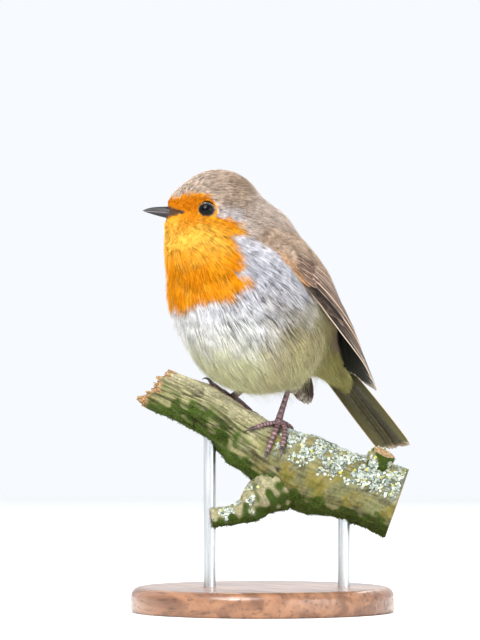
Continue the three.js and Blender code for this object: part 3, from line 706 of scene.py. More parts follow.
# %% Masks
def marks_of(p):
    """Masks at points counted from the chest: orange, white, olive, grey; and glow, deep, cream, dark."""
    h = p - HEAD_AT
    forward, height = h @ LOOK, h @ UP
    x, y, z = p.T
    round_neck = np.degrees(np.arctan2(x, -y))
    aside = np.abs(round_neck)
    fray = 0.55 * ripple(p, 3.2, 11) + 0.35 * ripple(p, 1.3, 12)

    hem = interp(aside, BIB_HEM) - 3.5 * bell((round_neck, -22, 14))
    in_bib = np.minimum((interp(z, BIB_SIDE) - aside) * MM_PER_DEGREE, z - hem)
    in_face = interp(forward, FACE_LINE) - height
    on_face = smooth(z, 21.5, 27)
    inside = in_bib * (1 - on_face) + in_face * on_face
    orange = smooth(inside + fray, -0.7, 0.7)

    below = smooth(hem - z + fray, -0.8, 0.8)
    flank = smooth(aside + 7 * ripple(p, 9, 13), 60, 94)
    low = smooth(-z, -8, 6)
    back = smooth(aside, 118 + 18 * low, 140 + 18 * low) * smooth(z, -24, -14)
    over_tail = y * math.sin(TAIL_PITCH) + z * math.cos(TAIL_PITCH)
    back = np.maximum(back, smooth(over_tail, 9.5, 13) * smooth(y, 12, 20))
    shoulder = shoulder_share(p) * (1 - orange)
    border = smooth(inside, -11, -1.5)
    side_grey = smooth(z + 4 * ripple(p, 5, 14), -14, 6) * (1 - smooth(z, 22, 27))
    side_grey = side_grey * (1 - smooth(aside, 100, 125))
    neck_grey = smooth(z, 20, 25) * (1 - smooth(height, -7, 3)) * smooth(forward, -17, -8) * (1 - back)
    face_grey = 0.3 * border * on_face * (1 - smooth(height, -1, 6))
    grey = np.clip(np.maximum(side_grey, 0.6 * neck_grey) + face_grey, 0, 1) * (1 - shoulder)
    olive = flank * (1 - smooth(z + 4 * ripple(p, 4, 18), -3, 16)) * (1 - back)
    olive = np.clip(olive + smooth(y, 17, 25) * (1 - back), 0, 1) * (1 - shoulder)
    white = below * (1 - flank) * (1 - smooth(y, 10, 22)) * (1 - shoulder)
    cream = smooth(-z + 3 * ripple(p, 5, 15), 9, 26) * (1 - back)

    # painted highlight: paler yellow where the throat faces the light; the ripple adds paler patches at
    # random
    throat = 0.85 * bell((height, -10.5, 6)) * smooth(forward, -8, 4)
    throat = throat + 0.35 * smooth(ripple(p, 6, 16), 0, 1)
    nape = smooth(-forward, 9, 14) * (1 - smooth(z, 40, 45)) * smooth(z, 24, 30)
    forehead = 0.35 * smooth(forward, -9, 9) * smooth(height, -1, 4)
    pale_brown = forehead + np.maximum(neck_grey, 0.5 * nape)
    glow = mixed(pale_brown, throat, orange)
    rear_crown = 0.5 * bell((forward, -8, 4.5)) * smooth(height, 3, 8)
    rear_crown = rear_crown + 0.7 * bell((forward, -5, 4), (height, 0.5, 3))
    rear_crown = rear_crown + 0.55 * smooth(ripple(p, 1.1, 19), 0.0, 0.8) * smooth(height, 2, 7)
    fiery = 0.85 * smooth(inside, 0.2, 1.5) * smooth(height, -1.5, 2) + 0.35 * smooth(height, -7, -4)
    deep = on_face * mixed(rear_crown, fiery, orange)
    deep = deep + (1 - on_face) * mixed(smooth(y, 17, 29), 0.1, orange)
    # the partings: dark down showing through, with painted shade
    partings = sum(part * bell((aside, *a), (z, *b)) for part, a, b in PARTINGS)
    streaks = smooth(ripple(p * [1, 1, 0.5], 2.6, 17), -0.6, 0.8)
    dark = np.clip(partings, 0, 0.75) * streaks * (1 - orange)
    gape = 0.35 * (forward - 12.2) - np.abs(height + 0.12)
    dark = np.maximum(dark, smooth(gape, -0.25, 0.15) * on_face)
    first = np.stack([orange, white, olive, grey], 1)
    second = np.stack([np.clip(glow, 0, 1), np.clip(deep, 0, 1), cream, np.clip(dark, 0, 1)], 1)
    return first, second


# %% [markdown]
# ## How feathers lie
# On the head they sweep back from the bill; from the neck on they all point to the tail. Projecting one
# direction in space onto the surface gives both the crown's sweep and the fall of the breast, because the
# surface turns it. They are tiny round the bill and the eye and longest on the belly.

# %% Lie, length and depth of the coat
BILL_BASE, SWEPT_FROM = on_head(0, 15.2, 0.2), on_head(0, 19, 0.1)
SWAY = 0.17  # how far feathers stray from the common lie


def head_share(p):
    return 1 - smooth(np.linalg.norm(p - HEAD_AT, axis=1), 16, 28)


def lie_of(p, n):
    head = head_share(p)[:, None]
    way = head * unit(p - SWEPT_FROM) + (1 - head) * TAIL_ALONG
    belly = smooth(-p[:, 2], 0, 15) * smooth(20 - p[:, 1], 0, 12)
    way = way - 0.25 * belly[:, None] * UP
    way = unit(way - n * np.sum(way * n, 1, keepdims=True))
    turn = SWAY * ripple(p, 11, 21) + 0.6 * SWAY * ripple(p, 4.5, 22)
    across = np.cross(n, way)
    return way * np.cos(turn)[:, None] + across * np.sin(turn)[:, None]


def coat_length(p):
    from_bill = np.linalg.norm(p - BILL_BASE, axis=1)
    head = np.clip(1.2 + 0.16 * (from_bill - 3), 1.2, 4.6)
    trunk = 6.0 + 3.2 * smooth(-p[:, 2], -6, 14) - 1.2 * smooth(p[:, 1], 0, 20) * smooth(p[:, 2], -12, 4)
    share = head_share(p)
    return head * share + trunk * (1 - share)


def coat_depth(p):
    return np.clip(0.24 * coat_length(p) - 0.1, 0.25, 1.9)


# %% [markdown]
# ## The skin
# Under its feathers the bird has one closed skin, without the cuts that part head from neck and trunk. It
# could be sculpted, but the soft lumps already say where the plumage ends, so the skin is that same
# surface drawn in by the depth of the coat: shallow on the face, deep on the belly. Surface nets turn the
# field into a mesh: one point in every small cell that the surface crosses.

# %% Surface nets
def net_of(field, low, high, cell):
    """Points and quads where the field is 0, between two corners of a box."""
    ticks = [np.arange(a, b + cell, cell) for a, b in zip(low, high)]
    grid = np.stack(np.meshgrid(*ticks, indexing="ij"), -1)
    value = field(grid.reshape(-1, 3)).reshape(grid.shape[:3])
    inner = tuple(n - 1 for n in value.shape)
    total, crossings = np.zeros(inner + (3,)), np.zeros(inner)
    for axis, *corner in np.ndindex(3, 2, 2):
        start = np.insert(corner, axis, 0)
        end = start + np.eye(3, dtype=int)[axis]
        a, b = (value[tuple(slice(o, o + n) for o, n in zip(c, inner))] for c in (start, end))
        cross = (a < 0) != (b < 0)
        share = np.where(cross, a / np.where(cross, a - b, 1), 0)
        spot = start + share[..., None] * (end - start)
        total += np.where(cross[..., None], spot, 0)
        crossings += cross
    used = crossings > 0
    number = np.full(inner, -1)
    number[used] = np.arange(used.sum())
    places = np.argwhere(used) + total[used] / crossings[used][:, None]
    quads = []
    for axis in range(3):
        one, two = (np.eye(3, dtype=int)[(axis + k) % 3] for k in (1, 2))
        inside = value < 0
        change = np.argwhere(np.diff(inside.astype(np.int8), axis=axis) != 0)
        change = change[np.all(change > 0, 1) & np.all(change < np.array(inner), 1)]
        ring = [number[tuple((change - a * one - b * two).T)] for a, b in ((0, 0), (1, 0), (1, 1), (0, 1))]
        faces, turned = np.stack(ring, 1), ~inside[tuple(change.T)]
        faces[turned] = faces[turned][:, ::-1]
        quads.append(faces)
    return places * cell + np.asarray(low), np.concatenate(quads)


# %% One skin for all the flesh
SKIN_CELL = 0.9


def skin_field(p):
    return body_distance(p) + coat_depth(p)


skin_at, skin_quads = net_of(skin_field, (-31, -39, -37), (31, 51, 52), SKIN_CELL)
print("skin: volume in cm3", round(volume_of(skin_at, [skin_quads]) / 1000, 1))

# %% [markdown]
# ## Feathers, lock by lock
# A contour feather is a soft fan of barbs. Only its last few millimetres show, and they lie over the next
# ones like tiles. Hair particles would make them, but they aren't part of the model when it leaves Blender,
# so each feather is built as a small fan of thin closed blades. Its roots are spread evenly over the skin,
# its middle line walks along the surface the way the feathers lie, and it climbs from the skin to the
# plumage's outside on the way.

# %% Roots spread over a surface
def triangles_of(quads):
    return np.concatenate([quads[:, [0, 1, 2]], quads[:, [0, 2, 3]]])


def spread(points, triangles, density, seed):
    """Random points on a surface, density of them on each square millimetre."""
    chance = np.random.default_rng(seed)
    a, b, c = (points[triangles[:, k]] for k in range(3))
    area = np.linalg.norm(np.cross(b - a, c - a), axis=1) / 2
    wanted = np.cumsum(area * density((a + b + c) / 3))
    picks = np.arange(int(wanted[-1])) + chance.random(int(wanted[-1]))
    which = np.minimum(np.searchsorted(wanted, picks), len(triangles) - 1)
    u, v = chance.random((2, len(which), 1))
    u, v = np.where(u + v > 1, 1 - u, u), np.where(u + v > 1, 1 - v, v)
    return a[which] + u * (b - a)[which] + v * (c - a)[which]


# %% Fans of blades
BLADE_POINTS = 7  # three at the root, three in the middle and the tip
BLADE_SIDES = [(3, 5, 2, 0), (5, 4, 1, 2), (4, 3, 0, 1)]
BLADE_ENDS = [(6, 5, 3), (6, 4, 5), (6, 3, 4), (2, 1, 0)]
BLADE_SHARES = [0, 0, 0, 0.6, 0.6, 0.6, 1.0]


def fans(root, mid, tip, out, spread_to, width, blades, chance):
    """Closed three-sided blades about each feather's middle line. Returns points, faces, owner, share."""
    count = len(root)
    across_root, across_tip = np.cross(out, unit(mid - root)), np.cross(out, unit(tip - mid))
    place = np.linspace(-1, 1, blades)[None, :] + chance.normal(0, 0.13, (count, blades))
    reach = (1 - 0.26 * place**2) * chance.uniform(0.82, 1.12, (count, blades))
    spread_to = spread_to[:, None, None]
    rise = chance.normal(0, 0.14, (count, blades, 1)) * spread_to
    place = place[..., None] * spread_to
    sway = chance.normal(0, 0.16, (count, blades, 1)) * spread_to
    c, o = across_root[:, None], out[:, None]
    starts = root[:, None] + c * place * 0.3
    middles = mid[:, None] + c * place * 0.85 + o * rise
    onward = (tip - mid)[:, None] * reach[..., None]
    ends = mid[:, None] + onward + across_tip[:, None] * (place + sway) + o * rise
    half = width[:, None, None] * chance.uniform(0.8, 1.2, (count, blades, 1)) / 2
    ring = []
    for spot, wide in ((starts, 0.7), (middles, 1.0)):
        ring += [spot - c * half * wide, spot + c * half * wide, spot + o * half * wide * 0.6]
    points = np.stack(ring + [ends], 2).reshape(-1, 3)
    base = np.arange(count * blades)[:, None] * BLADE_POINTS
    faces = [np.concatenate([base + np.array(s) for s in kind]) for kind in (BLADE_SIDES, BLADE_ENDS)]
    owner = np.repeat(np.arange(count), blades * BLADE_POINTS)
    return points, faces, owner, np.tile(BLADE_SHARES, count * blades)


def each_blade(v):
    """Numbers drawn for the blades, given to every point of each."""
    return np.repeat(v, BLADE_POINTS)


def folded_square(way):
    """Directions laid out on a square: an octahedron opened flat, with no stretched pole."""
    d = way / np.abs(way).sum(1, keepdims=True)
    u, v = d[:, 0].copy(), d[:, 1].copy()
    low = d[:, 2] < 0
    u[low] = (1 - np.abs(d[low, 1])) * np.sign(d[low, 0])
    v[low] = (1 - np.abs(d[low, 0])) * np.sign(d[low, 1])
    return np.stack([u, v], 1) * 0.5 + 0.5


PATCH = 0.003  # each feather's share of its map


def patches(root, heart, points, owner):
    """A small patch of the map for each feather, at its root's place on the opened skin."""
    seat = folded_square(root - heart) * (1 - 2 * PATCH) + PATCH
    off = points - root[owner]
    size = np.zeros(len(root))
    np.maximum.at(size, owner, np.abs(off).max(1))
    return seat[owner] + off[:, :2] / size[owner, None] * PATCH / 2


def feathers(name, root, slot, heart, scale, blades, width, lift, seed, ruffle, loose, speckle=0.24,
             droop=0.3, bright=0.5):
    """One piece of plumage from its feathers' roots. Loose ones run straight on where the body curves."""
    chance = np.random.default_rng(seed)
    out = outward(root)
    long = coat_length(root) * scale * chance.uniform(0.75, 1.25, len(root))
    depth = coat_depth(root)
    way = lie_of(root, out)
    start = to_level(root, 0, 2) - out * (depth + 0.25)[:, None]
    mid = start + way * (long * 0.55)[:, None]
    mid = to_level(mid, -0.42 * depth, 2)
    out_mid = outward(mid)
    onward = lie_of(mid, out_mid)
    tip = mid + onward * (long * 0.5)[:, None]
    out_tip = outward(tip)
    stand = lift + ruffle * chance.random(len(root)) ** 2 * long
    stand = stand + chance.normal(0, 0.08, len(root)) - 0.15
    tip = tip - out_tip * (body_distance(tip) - stand)[:, None]
    free = mid + unit(way - droop * UP) * (long * 0.5)[:, None]
    tip = mixed(tip, free, loose * chance.random((len(root), 1)))
    fan, wide = np.clip(0.21 * long, 0.3, 1.9), np.full(len(root), width)
    points, faces, owner, share = fans(start, mid, tip, out_mid, fan, wide, blades, chance)
    first, second = marks_of(mixed(mid, tip, 0.35))
    count = len(root) * blades
    tone = chance.normal(bright, 0.16, len(root))[owner] + each_blade(chance.normal(0, speckle, count))
    second = second[owner]
    second[:, 3] = second[:, 3] > each_blade(chance.random(count))
    values = coat_values(first[owner], second, tone, share)
    bake = patches(root, heart, points, owner)
    return mesh_of(name, points + CHEST, faces, PLUMAGE, slot, values, bake)


# %% [markdown]
# ## What colours the plumage
# One finish serves skin and feathers. The masks choose between warm brown, orange, white, buff olive and
# blue-grey; inside the bib a paler yellow is a painted highlight on the throat, and a deeper orange lies
# round the face.
# Every feather is a shade lighter or darker than its neighbour, and darker towards its root: partly the dark
# down at its base, partly painted shade from the feathers lying over it. That is what makes plumage look
# soft.

# %% Plumage finish
def plumage():
    made = Finish("plumage", Roughness=0.85, Specular_IOR_Level=0.08)
    orange, white, olive, grey = made.split("marks")
    glow, deep, cream, dark = made.split("accents")
    tone, lie = made.value("tone"), made.value("lie")
    cloud = made.noise(260, 3)
    brown = made.mix(cloud.ramp(0.3, 0.7), "a08a76", "c3ac98")
    brown = made.mix(glow, brown, "dfd0c7")
    brown = made.mix(deep * 0.8, brown, "9a8572")
    bib = made.mix(cloud.ramp(0.3, 0.75), "e48d0a", "f3a314")
    # glow brings in the throat's painted highlight and the bib's paler patches
    bib = made.mix(glow * 0.8, bib, "ffd45e")
    bib = made.mix(deep * 0.85, bib, "c06c04")
    pale = made.mix(cream, "f6f6f5", "d2d2a6")
    buff = made.mix(cream * 0.75 + cloud * 0.4, "a89b72", "d3cda0")
    buff = made.mix(deep * 0.8, buff, "aaa25c")
    slate = made.mix(cloud.ramp(0.35, 0.7), "c6c6d0", "e4e3eb")
    coat = made.mix(white, brown, pale)
    coat = made.mix(olive, coat, buff)
    coat = made.mix(grey * 0.95, coat, slate)
    coat = made.mix(orange, coat, bib)
    coat = made.mix(dark * 0.93, coat, "34312f")
    # the lie darkens each blade towards its root: the dark down there, and painted shade of the layers above
    shade = tone.ramp(-0.2, 1.2, 0.55, 1.35) * lie.ramp(0.0, 0.8, 0.45, 1.08)
    made.put("Base Color", made.tint(shade, coat))
    return made


def coat_values(marks, accents, tone, lie):
    """What the plumage finish reads; a single tone or lie serves every point."""
    tone, lie = (np.broadcast_to(v, len(marks)) for v in (tone, lie))
    return {"marks": marks, "accents": accents, "tone": tone, "lie": lie}


PLUMAGE = plumage()
first, second = marks_of(skin_at)
# a low lie paints the skin as dark as the feathers' roots, with their painted shade
skin_values = coat_values(first, second, 0.5, 0.35)
skin = mesh_of("skin", skin_at + CHEST, [skin_quads], PLUMAGE, "plumage_belly", skin_values)
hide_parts("head", "neck", "trunk", "rump", "thigh_left", "thigh_right")

# %% [markdown]
# ## Sowing the coat
# Feathers are sown region by region, because each region's finish slot, length and size differ. None are
# sown where the closed wings, the bill or the eyes cover the skin.

# %% Where feathers grow
BARE_SQUARED = 5.0  # skin stays bare where its squared distance to the wing's middle sheet is less
AT_ONCE = 4000  # points compared in one go


def wing_cover(p):
    """True under the middle of a folded wing."""
    covered = np.zeros(len(p), bool)
    s, t = np.meshgrid(np.linspace(0.02, 0.98, 40), np.linspace(-1, 1, 19), indexing="ij")
    across = np.where(t > 0, t * (lead_half(s) - 2.2), t * (back_half(s) - 2.2))
    for side, _ in SIDES:
        sheet = wing_point(s, across, -0.8, side).reshape(-1, 3).astype(np.float32)
        for i in range(0, len(p), AT_ONCE):
            here = slice(i, i + AT_ONCE)
            gap = ((p[here, None] - sheet) ** 2).sum(2).min(1)
            covered[here] |= gap < BARE_SQUARED
    return covered


EYE_AT = {}
for side, name in ((1, "eye_left"), (-1, "eye_right")):
    low, high = (np.array(v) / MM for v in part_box(name))
    EYE_AT[side] = (low + high) / 2 - CHEST
EYE_FACING = math.radians(14)


def eye_frame(side):
    """An eye's middle, and the ways forward, up and out of it."""
    out = unit(side * math.cos(EYE_FACING) * HEAD_LEFT + math.sin(EYE_FACING) * LOOK)
    forward = unit(np.cross(UP, out) * -side)
    forward = unit(forward - out * (forward @ out))
    return EYE_AT[side], forward, UP, out


def clear(p):
    """True where nothing covers the skin."""
    free = ~wing_cover(p)
    h = p - HEAD_AT
    forward, height = h @ LOOK, h @ UP
    free &= ~((forward > 12.2) & (np.abs(height + 0.12) < 0.36 * (forward - 12.2) + 0.05))
    for side, _ in SIDES:
        at, ahead, up, out = eye_frame(side)
        e = p - at
        free &= ~(np.hypot(e @ ahead / 2.9, e @ up / 2.6) < 1) | ((e @ out) < 0)
    return free


def coat_density(p):
    long = coat_length(p)
    return np.clip(4.4 / long**1.15, 0.3, 2.8)


roots = spread(skin_at, triangles_of(skin_quads), coat_density, 5)
roots = roots[clear(roots)]
on_head_part = head_share(roots) > 0.5
left = roots[:, 0] > 0
orange_part = marks_of(roots)[0][:, 0] > 0.5
low_part = (roots[:, 2] < 1) & ~orange_part & (roots[:, 1] < 12)
rear_part = (roots[:, 1] >= 12) & (roots[:, 2] < 1) & ~on_head_part
side_part = ~on_head_part & ~orange_part & ~low_part & ~rear_part
HEAD_HEART, BODY_HEART = HEAD_AT, np.array([0.0, 2.0, 2.0])
plots = {
    "coat_face": (on_head_part & orange_part, "plumage_breast", HEAD_HEART),
    "coat_crown": (on_head_part & ~orange_part, "plumage_crown", HEAD_HEART),
    "coat_bib_left": (~on_head_part & orange_part & left, "plumage_breast", BODY_HEART),
    "coat_bib_right": (~on_head_part & orange_part & ~left, "plumage_breast", BODY_HEART),
    "coat_side_left": (side_part & left, "plumage_crown", BODY_HEART),
    "coat_side_right": (side_part & ~left, "plumage_crown", BODY_HEART),
    "coat_belly_left": (low_part & left, "plumage_belly", BODY_HEART),
    "coat_belly_right": (low_part & ~left, "plumage_belly", BODY_HEART),
    "coat_rear": (rear_part, "plumage_belly", BODY_HEART),
}
for seed, (name, (plot, slot, heart)) in enumerate(plots.items()):
    here = roots[plot]
    h = here - HEAD_AT
    front = smooth(h @ LOOK, 8, 14) * smooth(np.abs(h @ UP), 2.5, 5)
    low = smooth(-here[:, 2], 4, 16)
    fine = "face" in name or "crown" in name
    blades, width, scale, speckle = (9, 0.12, 1.3, 0.4) if fine else (12, 0.15, 1.4, 0.26)
    speckle = 0.55 if "crown" in name else speckle
    ragged = 0.04 + 0.08 * low + (0.06 if "bib" in name else 0)
    feathers(name, here, slot, heart, scale, blades, width, lift=0.3 * front, seed=50 + seed, ruffle=ragged,
             loose=0.4 * low[:, None], speckle=speckle)

# %% [markdown]
# Under the belly the longest feathers come loose and hang in wisps between the legs and below the vent.

# %% Wisps
hanging = (roots[:, 2] < -17) & (np.abs(roots[:, 0]) < 17) & (roots[:, 1] > -18) & (roots[:, 1] < 22)
feathers("coat_wisps", roots[hanging][::5], "plumage_belly", BODY_HEART, scale=1.7, blades=5, width=0.16,
         lift=0.6, seed=90, ruffle=0.2, loose=1.2, droop=0.9)
strands = (roots[:, 2] < 8) & (roots[:, 1] < 22) & ~orange_part
strands &= np.random.default_rng(7).random(len(roots)) < 0.12
feathers("coat_strands", roots[strands], "plumage_belly", BODY_HEART, scale=2.0, blades=3, width=0.15,
         lift=0.45, seed=91, ruffle=0.06, loose=0.5, bright=0.85)

# %% [markdown]
# ## Bill
# A robin's bill is thin and pointed, dark horn over bone, with a rounded ridge, a nostril slit near the base
# and a cutting edge that the lower half closes against. Each half is a loft of half-rounds that shrink to
# the tip. The nostril is a dent pressed into the loft's points, and an attribute paints shade into it and,
# fainter, into a groove along each side.

# %% Bill
BILL_START, BILL_LENGTH, BILL_ROOT, SEAM_GAP = 15.6, 11.4, -0.42, 0.1
NOSTRIL_AT, NOSTRIL_ANGLE = 0.17, 0.85


def bill_half(upper):
    s = np.linspace(BILL_ROOT, 1.0 if upper else 0.95, 44)[:, None]
    turn = np.linspace(0, math.pi, 33)[None, :]
    past = np.maximum(s, 0)
    seam = 0.4 * past**2 - 0.1 + (SEAM_GAP / 2 if upper else -SEAM_GAP / 2)
    edge = 2.05 - 0.3 * s - 1.3 * past**5 if upper else -2.7 + 2.95 * past**1.3
    tall = np.maximum(edge - seam, 0.2) if upper else np.minimum(edge - seam, -0.16)
    half = np.maximum(2.35 - 2.1 * past**0.7, 0.16) + np.minimum(38 * np.minimum(s, 0) ** 2, 3.3)
    half = half * (1 if upper else 0.96)
    across = np.cos(turn) * half
    rise = np.sin(turn) ** (0.85 if upper else 0.75) * tall
    steep = np.minimum(turn, math.pi - turn)
    dent = bell((s, NOSTRIL_AT, 0.07), (steep, NOSTRIL_ANGLE, 0.2)) * upper
    groove = bell((steep, 0.45, 0.16)) * smooth(s, 0.0, 0.1) * (1 - smooth(s, 0.55, 0.8)) * upper
    shrink = 1 - 0.2 * dent - 0.035 * groove
    rings = on_head(across * shrink, BILL_START + s * BILL_LENGTH + 0 * turn, seam + rise * shrink)
    points, faces = loft(rings)
    # hollow: the nostril's dent and the side groove, where shade is painted
    read = {"hollow": dent + 0.4 * groove, "reach": s, "rim": 1 - np.sin(turn)}
    return points, faces, {name: over_rings(v, rings.shape[:2]) for name, v in read.items()}


HORN = Finish("horn", Roughness=0.38, Specular_IOR_Level=0.3)
grain = HORN.noise(1400, 4, at=HORN.place((1, 1, 2)))
dark_horn = HORN.mix(grain.ramp(0.3, 0.7), "151315", "2a2629")
dark_horn = HORN.mix(HORN.value("rim").ramp(0.72, 1.0, 0, 0.4), dark_horn, "5f555b")
# painted shade in the nostril and, fainter, in the groove
dark_horn = HORN.mix(HORN.value("hollow"), dark_horn, "0e0c0d")
HORN.put("Base Color", HORN.mix(HORN.value("reach").ramp(0.75, 1.0, 0, 0.45), dark_horn, "1c1a1d"))
HORN.bump(grain, 0.25, 0.0001)
for name, upper in (("bill_top", True), ("bill_bottom", False)):
    points, faces, values = bill_half(upper)
    piece = mesh_of(name, points + CHEST, faces, HORN, "bill", values)
    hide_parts("bill_upper" if upper else "bill_lower")

# %% [markdown]
# ## Eyes and lids
# The eye is a large dark ball of which little shows. Its iris is so dark brown that it looks black, and the
# wet cornea mirrors the window. The lids frame it with a thin bare rim, lower and longer than round. The
# rim is a loft that runs round the opening, its inner edge resting on the ball.

# %% Eyes
EYE_RADIUS, LID_LONG, LID_HIGH = 3.3, 2.5, 2.04
CORNEA = Finish("cornea", Roughness=0.03, Specular_IOR_Level=0.12)
CORNEA.put("Base Color", CORNEA.mix(CORNEA.value("pupil"), "0c0808", "020204"))
LID = Finish("lid", Roughness=0.5)
lid_grain = LID.noise(2600, 3)
LID.put("Base Color", LID.mix(lid_grain.ramp(0.35, 0.65), "1a1615", "342b27"))
LID.bump(lid_grain, 0.4, 0.00008)


def eyeball(side):
    """A ball whose first pole looks out; its values are how near each point is to that pole."""
    at, ahead, up, out = eye_frame(side)
    tilt = np.linspace(0.02, math.pi - 0.02, 33)[:, None]
    turn = round_turn(64)[None, :]
    parts = np.sin(tilt) * np.cos(turn), np.sin(tilt) * np.sin(turn), np.cos(tilt) + 0 * turn
    rings = at + EYE_RADIUS * sum(part[..., None] * way for part, way in zip(parts, (ahead, up, out)))
    points, faces = loft(rings)
    return points, faces, over_rings(np.cos(tilt), rings.shape[:2], (1, -1))


def lid_point(side, turn, size, off):
    """Round the opening: size 1 is its edge, off the height over the eyeball."""
    at, ahead, up, out = eye_frame(side)
    e = np.cos(turn) * LID_LONG * size
    u = np.sin(turn) * LID_HIGH * size
    deep = np.sqrt(np.maximum((EYE_RADIUS + off) ** 2 - e**2 - u**2, 0.3))
    return at + e[..., None] * ahead + u[..., None] * up + deep[..., None] * out


LID_SECTION = [(1.0, 0.02), (0.99, 0.1), (1.02, 0.15), (1.06, 0.17), (1.1, 0.06), (1.22, -0.5), (1.1, -0.5)]
for side, name in SIDES:
    points, faces, front = eyeball(side)
    pupil = {"pupil": smooth(front, 0.86, 0.9)}
    eye = mesh_of("eyeball_" + name, points + CHEST, faces, CORNEA, "eye", pupil)
    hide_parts("eye_" + name)
    rings = [lid_point(side, round_turn(72), size, off) for size, off in LID_SECTION]
    points, faces = loft(np.stack(rings, 1), hoop=True)
    mesh_of("lid_" + name, points + CHEST, faces, LID, "plumage_crown")

# %% [markdown]
# A broken ring of tiny cream feathers edges the lids, palest behind the eye. Stiff dark bristles stand at
# the corners of the gape.

# %% Eye-ring and bristles
RING_FEATHERS = 80


def eye_ring(side):
    chance = np.random.default_rng(40 + side)
    turn = round_turn(RING_FEATHERS) + chance.normal(0, 0.03, RING_FEATHERS)
    flat = np.zeros(RING_FEATHERS)
    wide = 1.34 + 0.06 * chance.random(RING_FEATHERS) + 0.06 * np.cos(turn - 2.7)
    root, mid = lid_point(side, turn, 1.12, -0.2), lid_point(side, turn + 0.04, 1.2, 0.28)
    tip = lid_point(side, turn + 0.1 * np.sign(np.cos(turn)), wide, 0.3)
    out = np.broadcast_to(eye_frame(side)[3], root.shape)
    points, faces, owner, share = fans(root, mid, tip, out, flat + 0.16, flat + 0.13, 4, chance)
    ahead = 0.5 + 0.5 * np.cos(turn + 0.5)
    first = np.stack([0.85 * smooth(ahead, 0.2, 0.7), 0.75 - 0.3 * ahead, flat, flat], 1)
    second = np.stack([flat + 1.0, flat, flat + 0.6, flat], 1)
    tone = chance.normal(0.42, 0.22, RING_FEATHERS)
    values = coat_values(first[owner], second[owner], tone[owner], np.maximum(share, 0.5))
    return points + CHEST, faces, values, patches(root, HEAD_HEART, points, owner)


for side, name in SIDES:
    points, faces, values, bake = eye_ring(side)
    mesh_of("coat_eye_ring_" + name, points, faces, PLUMAGE, "plumage_breast", values, bake)

chance = np.random.default_rng(44)
gape = [(f, u) for f in (11.6, 12.6, 13.6) for u in (-1.4, -0.2, 1.2)]
corner = np.array([on_head(side * 4.4, f, u) for side, _ in SIDES for f, u in gape])
corner = to_level(corner, -0.2) + chance.normal(0, 0.15, (len(corner), 3))
aside = np.sign(corner @ HEAD_LEFT - HEAD_AT @ HEAD_LEFT)[:, None]
bristle_way = unit(aside * HEAD_LEFT * 0.7 + LOOK - 0.25 * UP)
long = chance.uniform(2.4, 3.6, (len(corner), 1))
middle, end = corner + bristle_way * long * 0.5, corner + (bristle_way - 0.12 * UP) * long
flat = np.zeros(len(corner))
points, faces, owner, share = fans(corner, middle, end, outward(corner), flat + 0.02, flat + 0.1, 2, chance)
none = np.zeros((len(points), 4))
values = coat_values(none, none + [0, 0, 0, 1], 0.0, share)
bake = patches(corner, HEAD_HEART, points, owner)
mesh_of("coat_bristles", points + CHEST, faces, PLUMAGE, "plumage_breast", values, bake)

# %% [markdown]
# ## Flight feathers
# A folded wing is a stack of vanes. The outermost primary lies lowest, along the leading edge; each next
# one overlaps it, then the secondaries, and the tertials cover the lot. What shows of each is a long
# strip of its outer web with a paler fringe. Above them lie rows of coverts, each shorter than the last. A
# vane here is a thin closed loft with a raised quill. It is laid out in the wing's own measures, share from
# shoulder to tip and share across, so a stack of them bends and curls with the wing.

# %% One vane
VANE_PLACES = np.array([-1, -0.72, -0.4, -0.1, 0, 0.1, 0.4, 0.72, 1])
VANE_RISE = np.array([-0.04, 0.02, 0.05, 0.06, 0.17, 0.06, 0.05, 0.02, -0.04])
VANE_THICK = 0.16


def vane_width(t, full, point):
    """Share of the full width along a vane: it swells from the quill and closes in a rounded tip."""
    base = 0.3 + 0.7 * smooth(t, 0, full)
    return base * np.sqrt(np.maximum(1 - np.maximum((t - point) / (1 - point), 0) ** 2.2, 0.0009))


def vane(place, t, rise_to, half_in, half_out, full, point, seed, thick=VANE_THICK, shade=None):
    """A vane's loft; place(t, across in mm, lift) puts it in space, rise_to(t) lifts its middle line."""
    width = vane_width(t, full, point)[:, None]
    c = np.concatenate([VANE_PLACES, VANE_PLACES[::-1]])[None, :]
    over = np.concatenate([VANE_RISE, VANE_RISE[::-1] * 0.6 - thick])[None, :]
    half = np.where(c > 0, half_out, half_in)
    wave = 0.05 * np.sin(9 * t[:, None] + seed) * np.abs(c)
    rise = rise_to(t)[:, None] + (over + wave) * np.minimum(width * 3, 1)
    rings = place(t[:, None] + 0 * c, c * half * width, rise)
    points, faces = loft(rings)
    shape = rings.shape[:2]
    chance = np.random.default_rng(1000 + seed)
    tone = np.full(len(points), chance.normal(0.5, 0.12) if shade is None else shade)
    below = np.repeat([0.0, 1.0], len(VANE_PLACES))[None, :]
    span, under = over_rings(t[:, None], shape, (0, 1)), over_rings(below, shape, (0, 1))
    return points, faces, {"span": span, "web": over_rings(c, shape), "under": under, "tone": tone}


# %% [markdown]
# The finish of a vane follows the feather: barbs slant from the quill to the edge, the quill is dark and
# glossier, the fringe is paler, and the lower side greyer, with painted shade that is deepest towards the
# root.
# All of it reads two attributes, the share along the vane and the share across its web.

# %% Vane finish
# the vanes' lower side: greyish, with painted shade near black at the root that eases towards the tip
UNDERSIDE_SHADE, QUILL, WORN_TIP, STRIPE = ("101111", "33332a"), "2b221d", "cfc4bb", "b39f90"


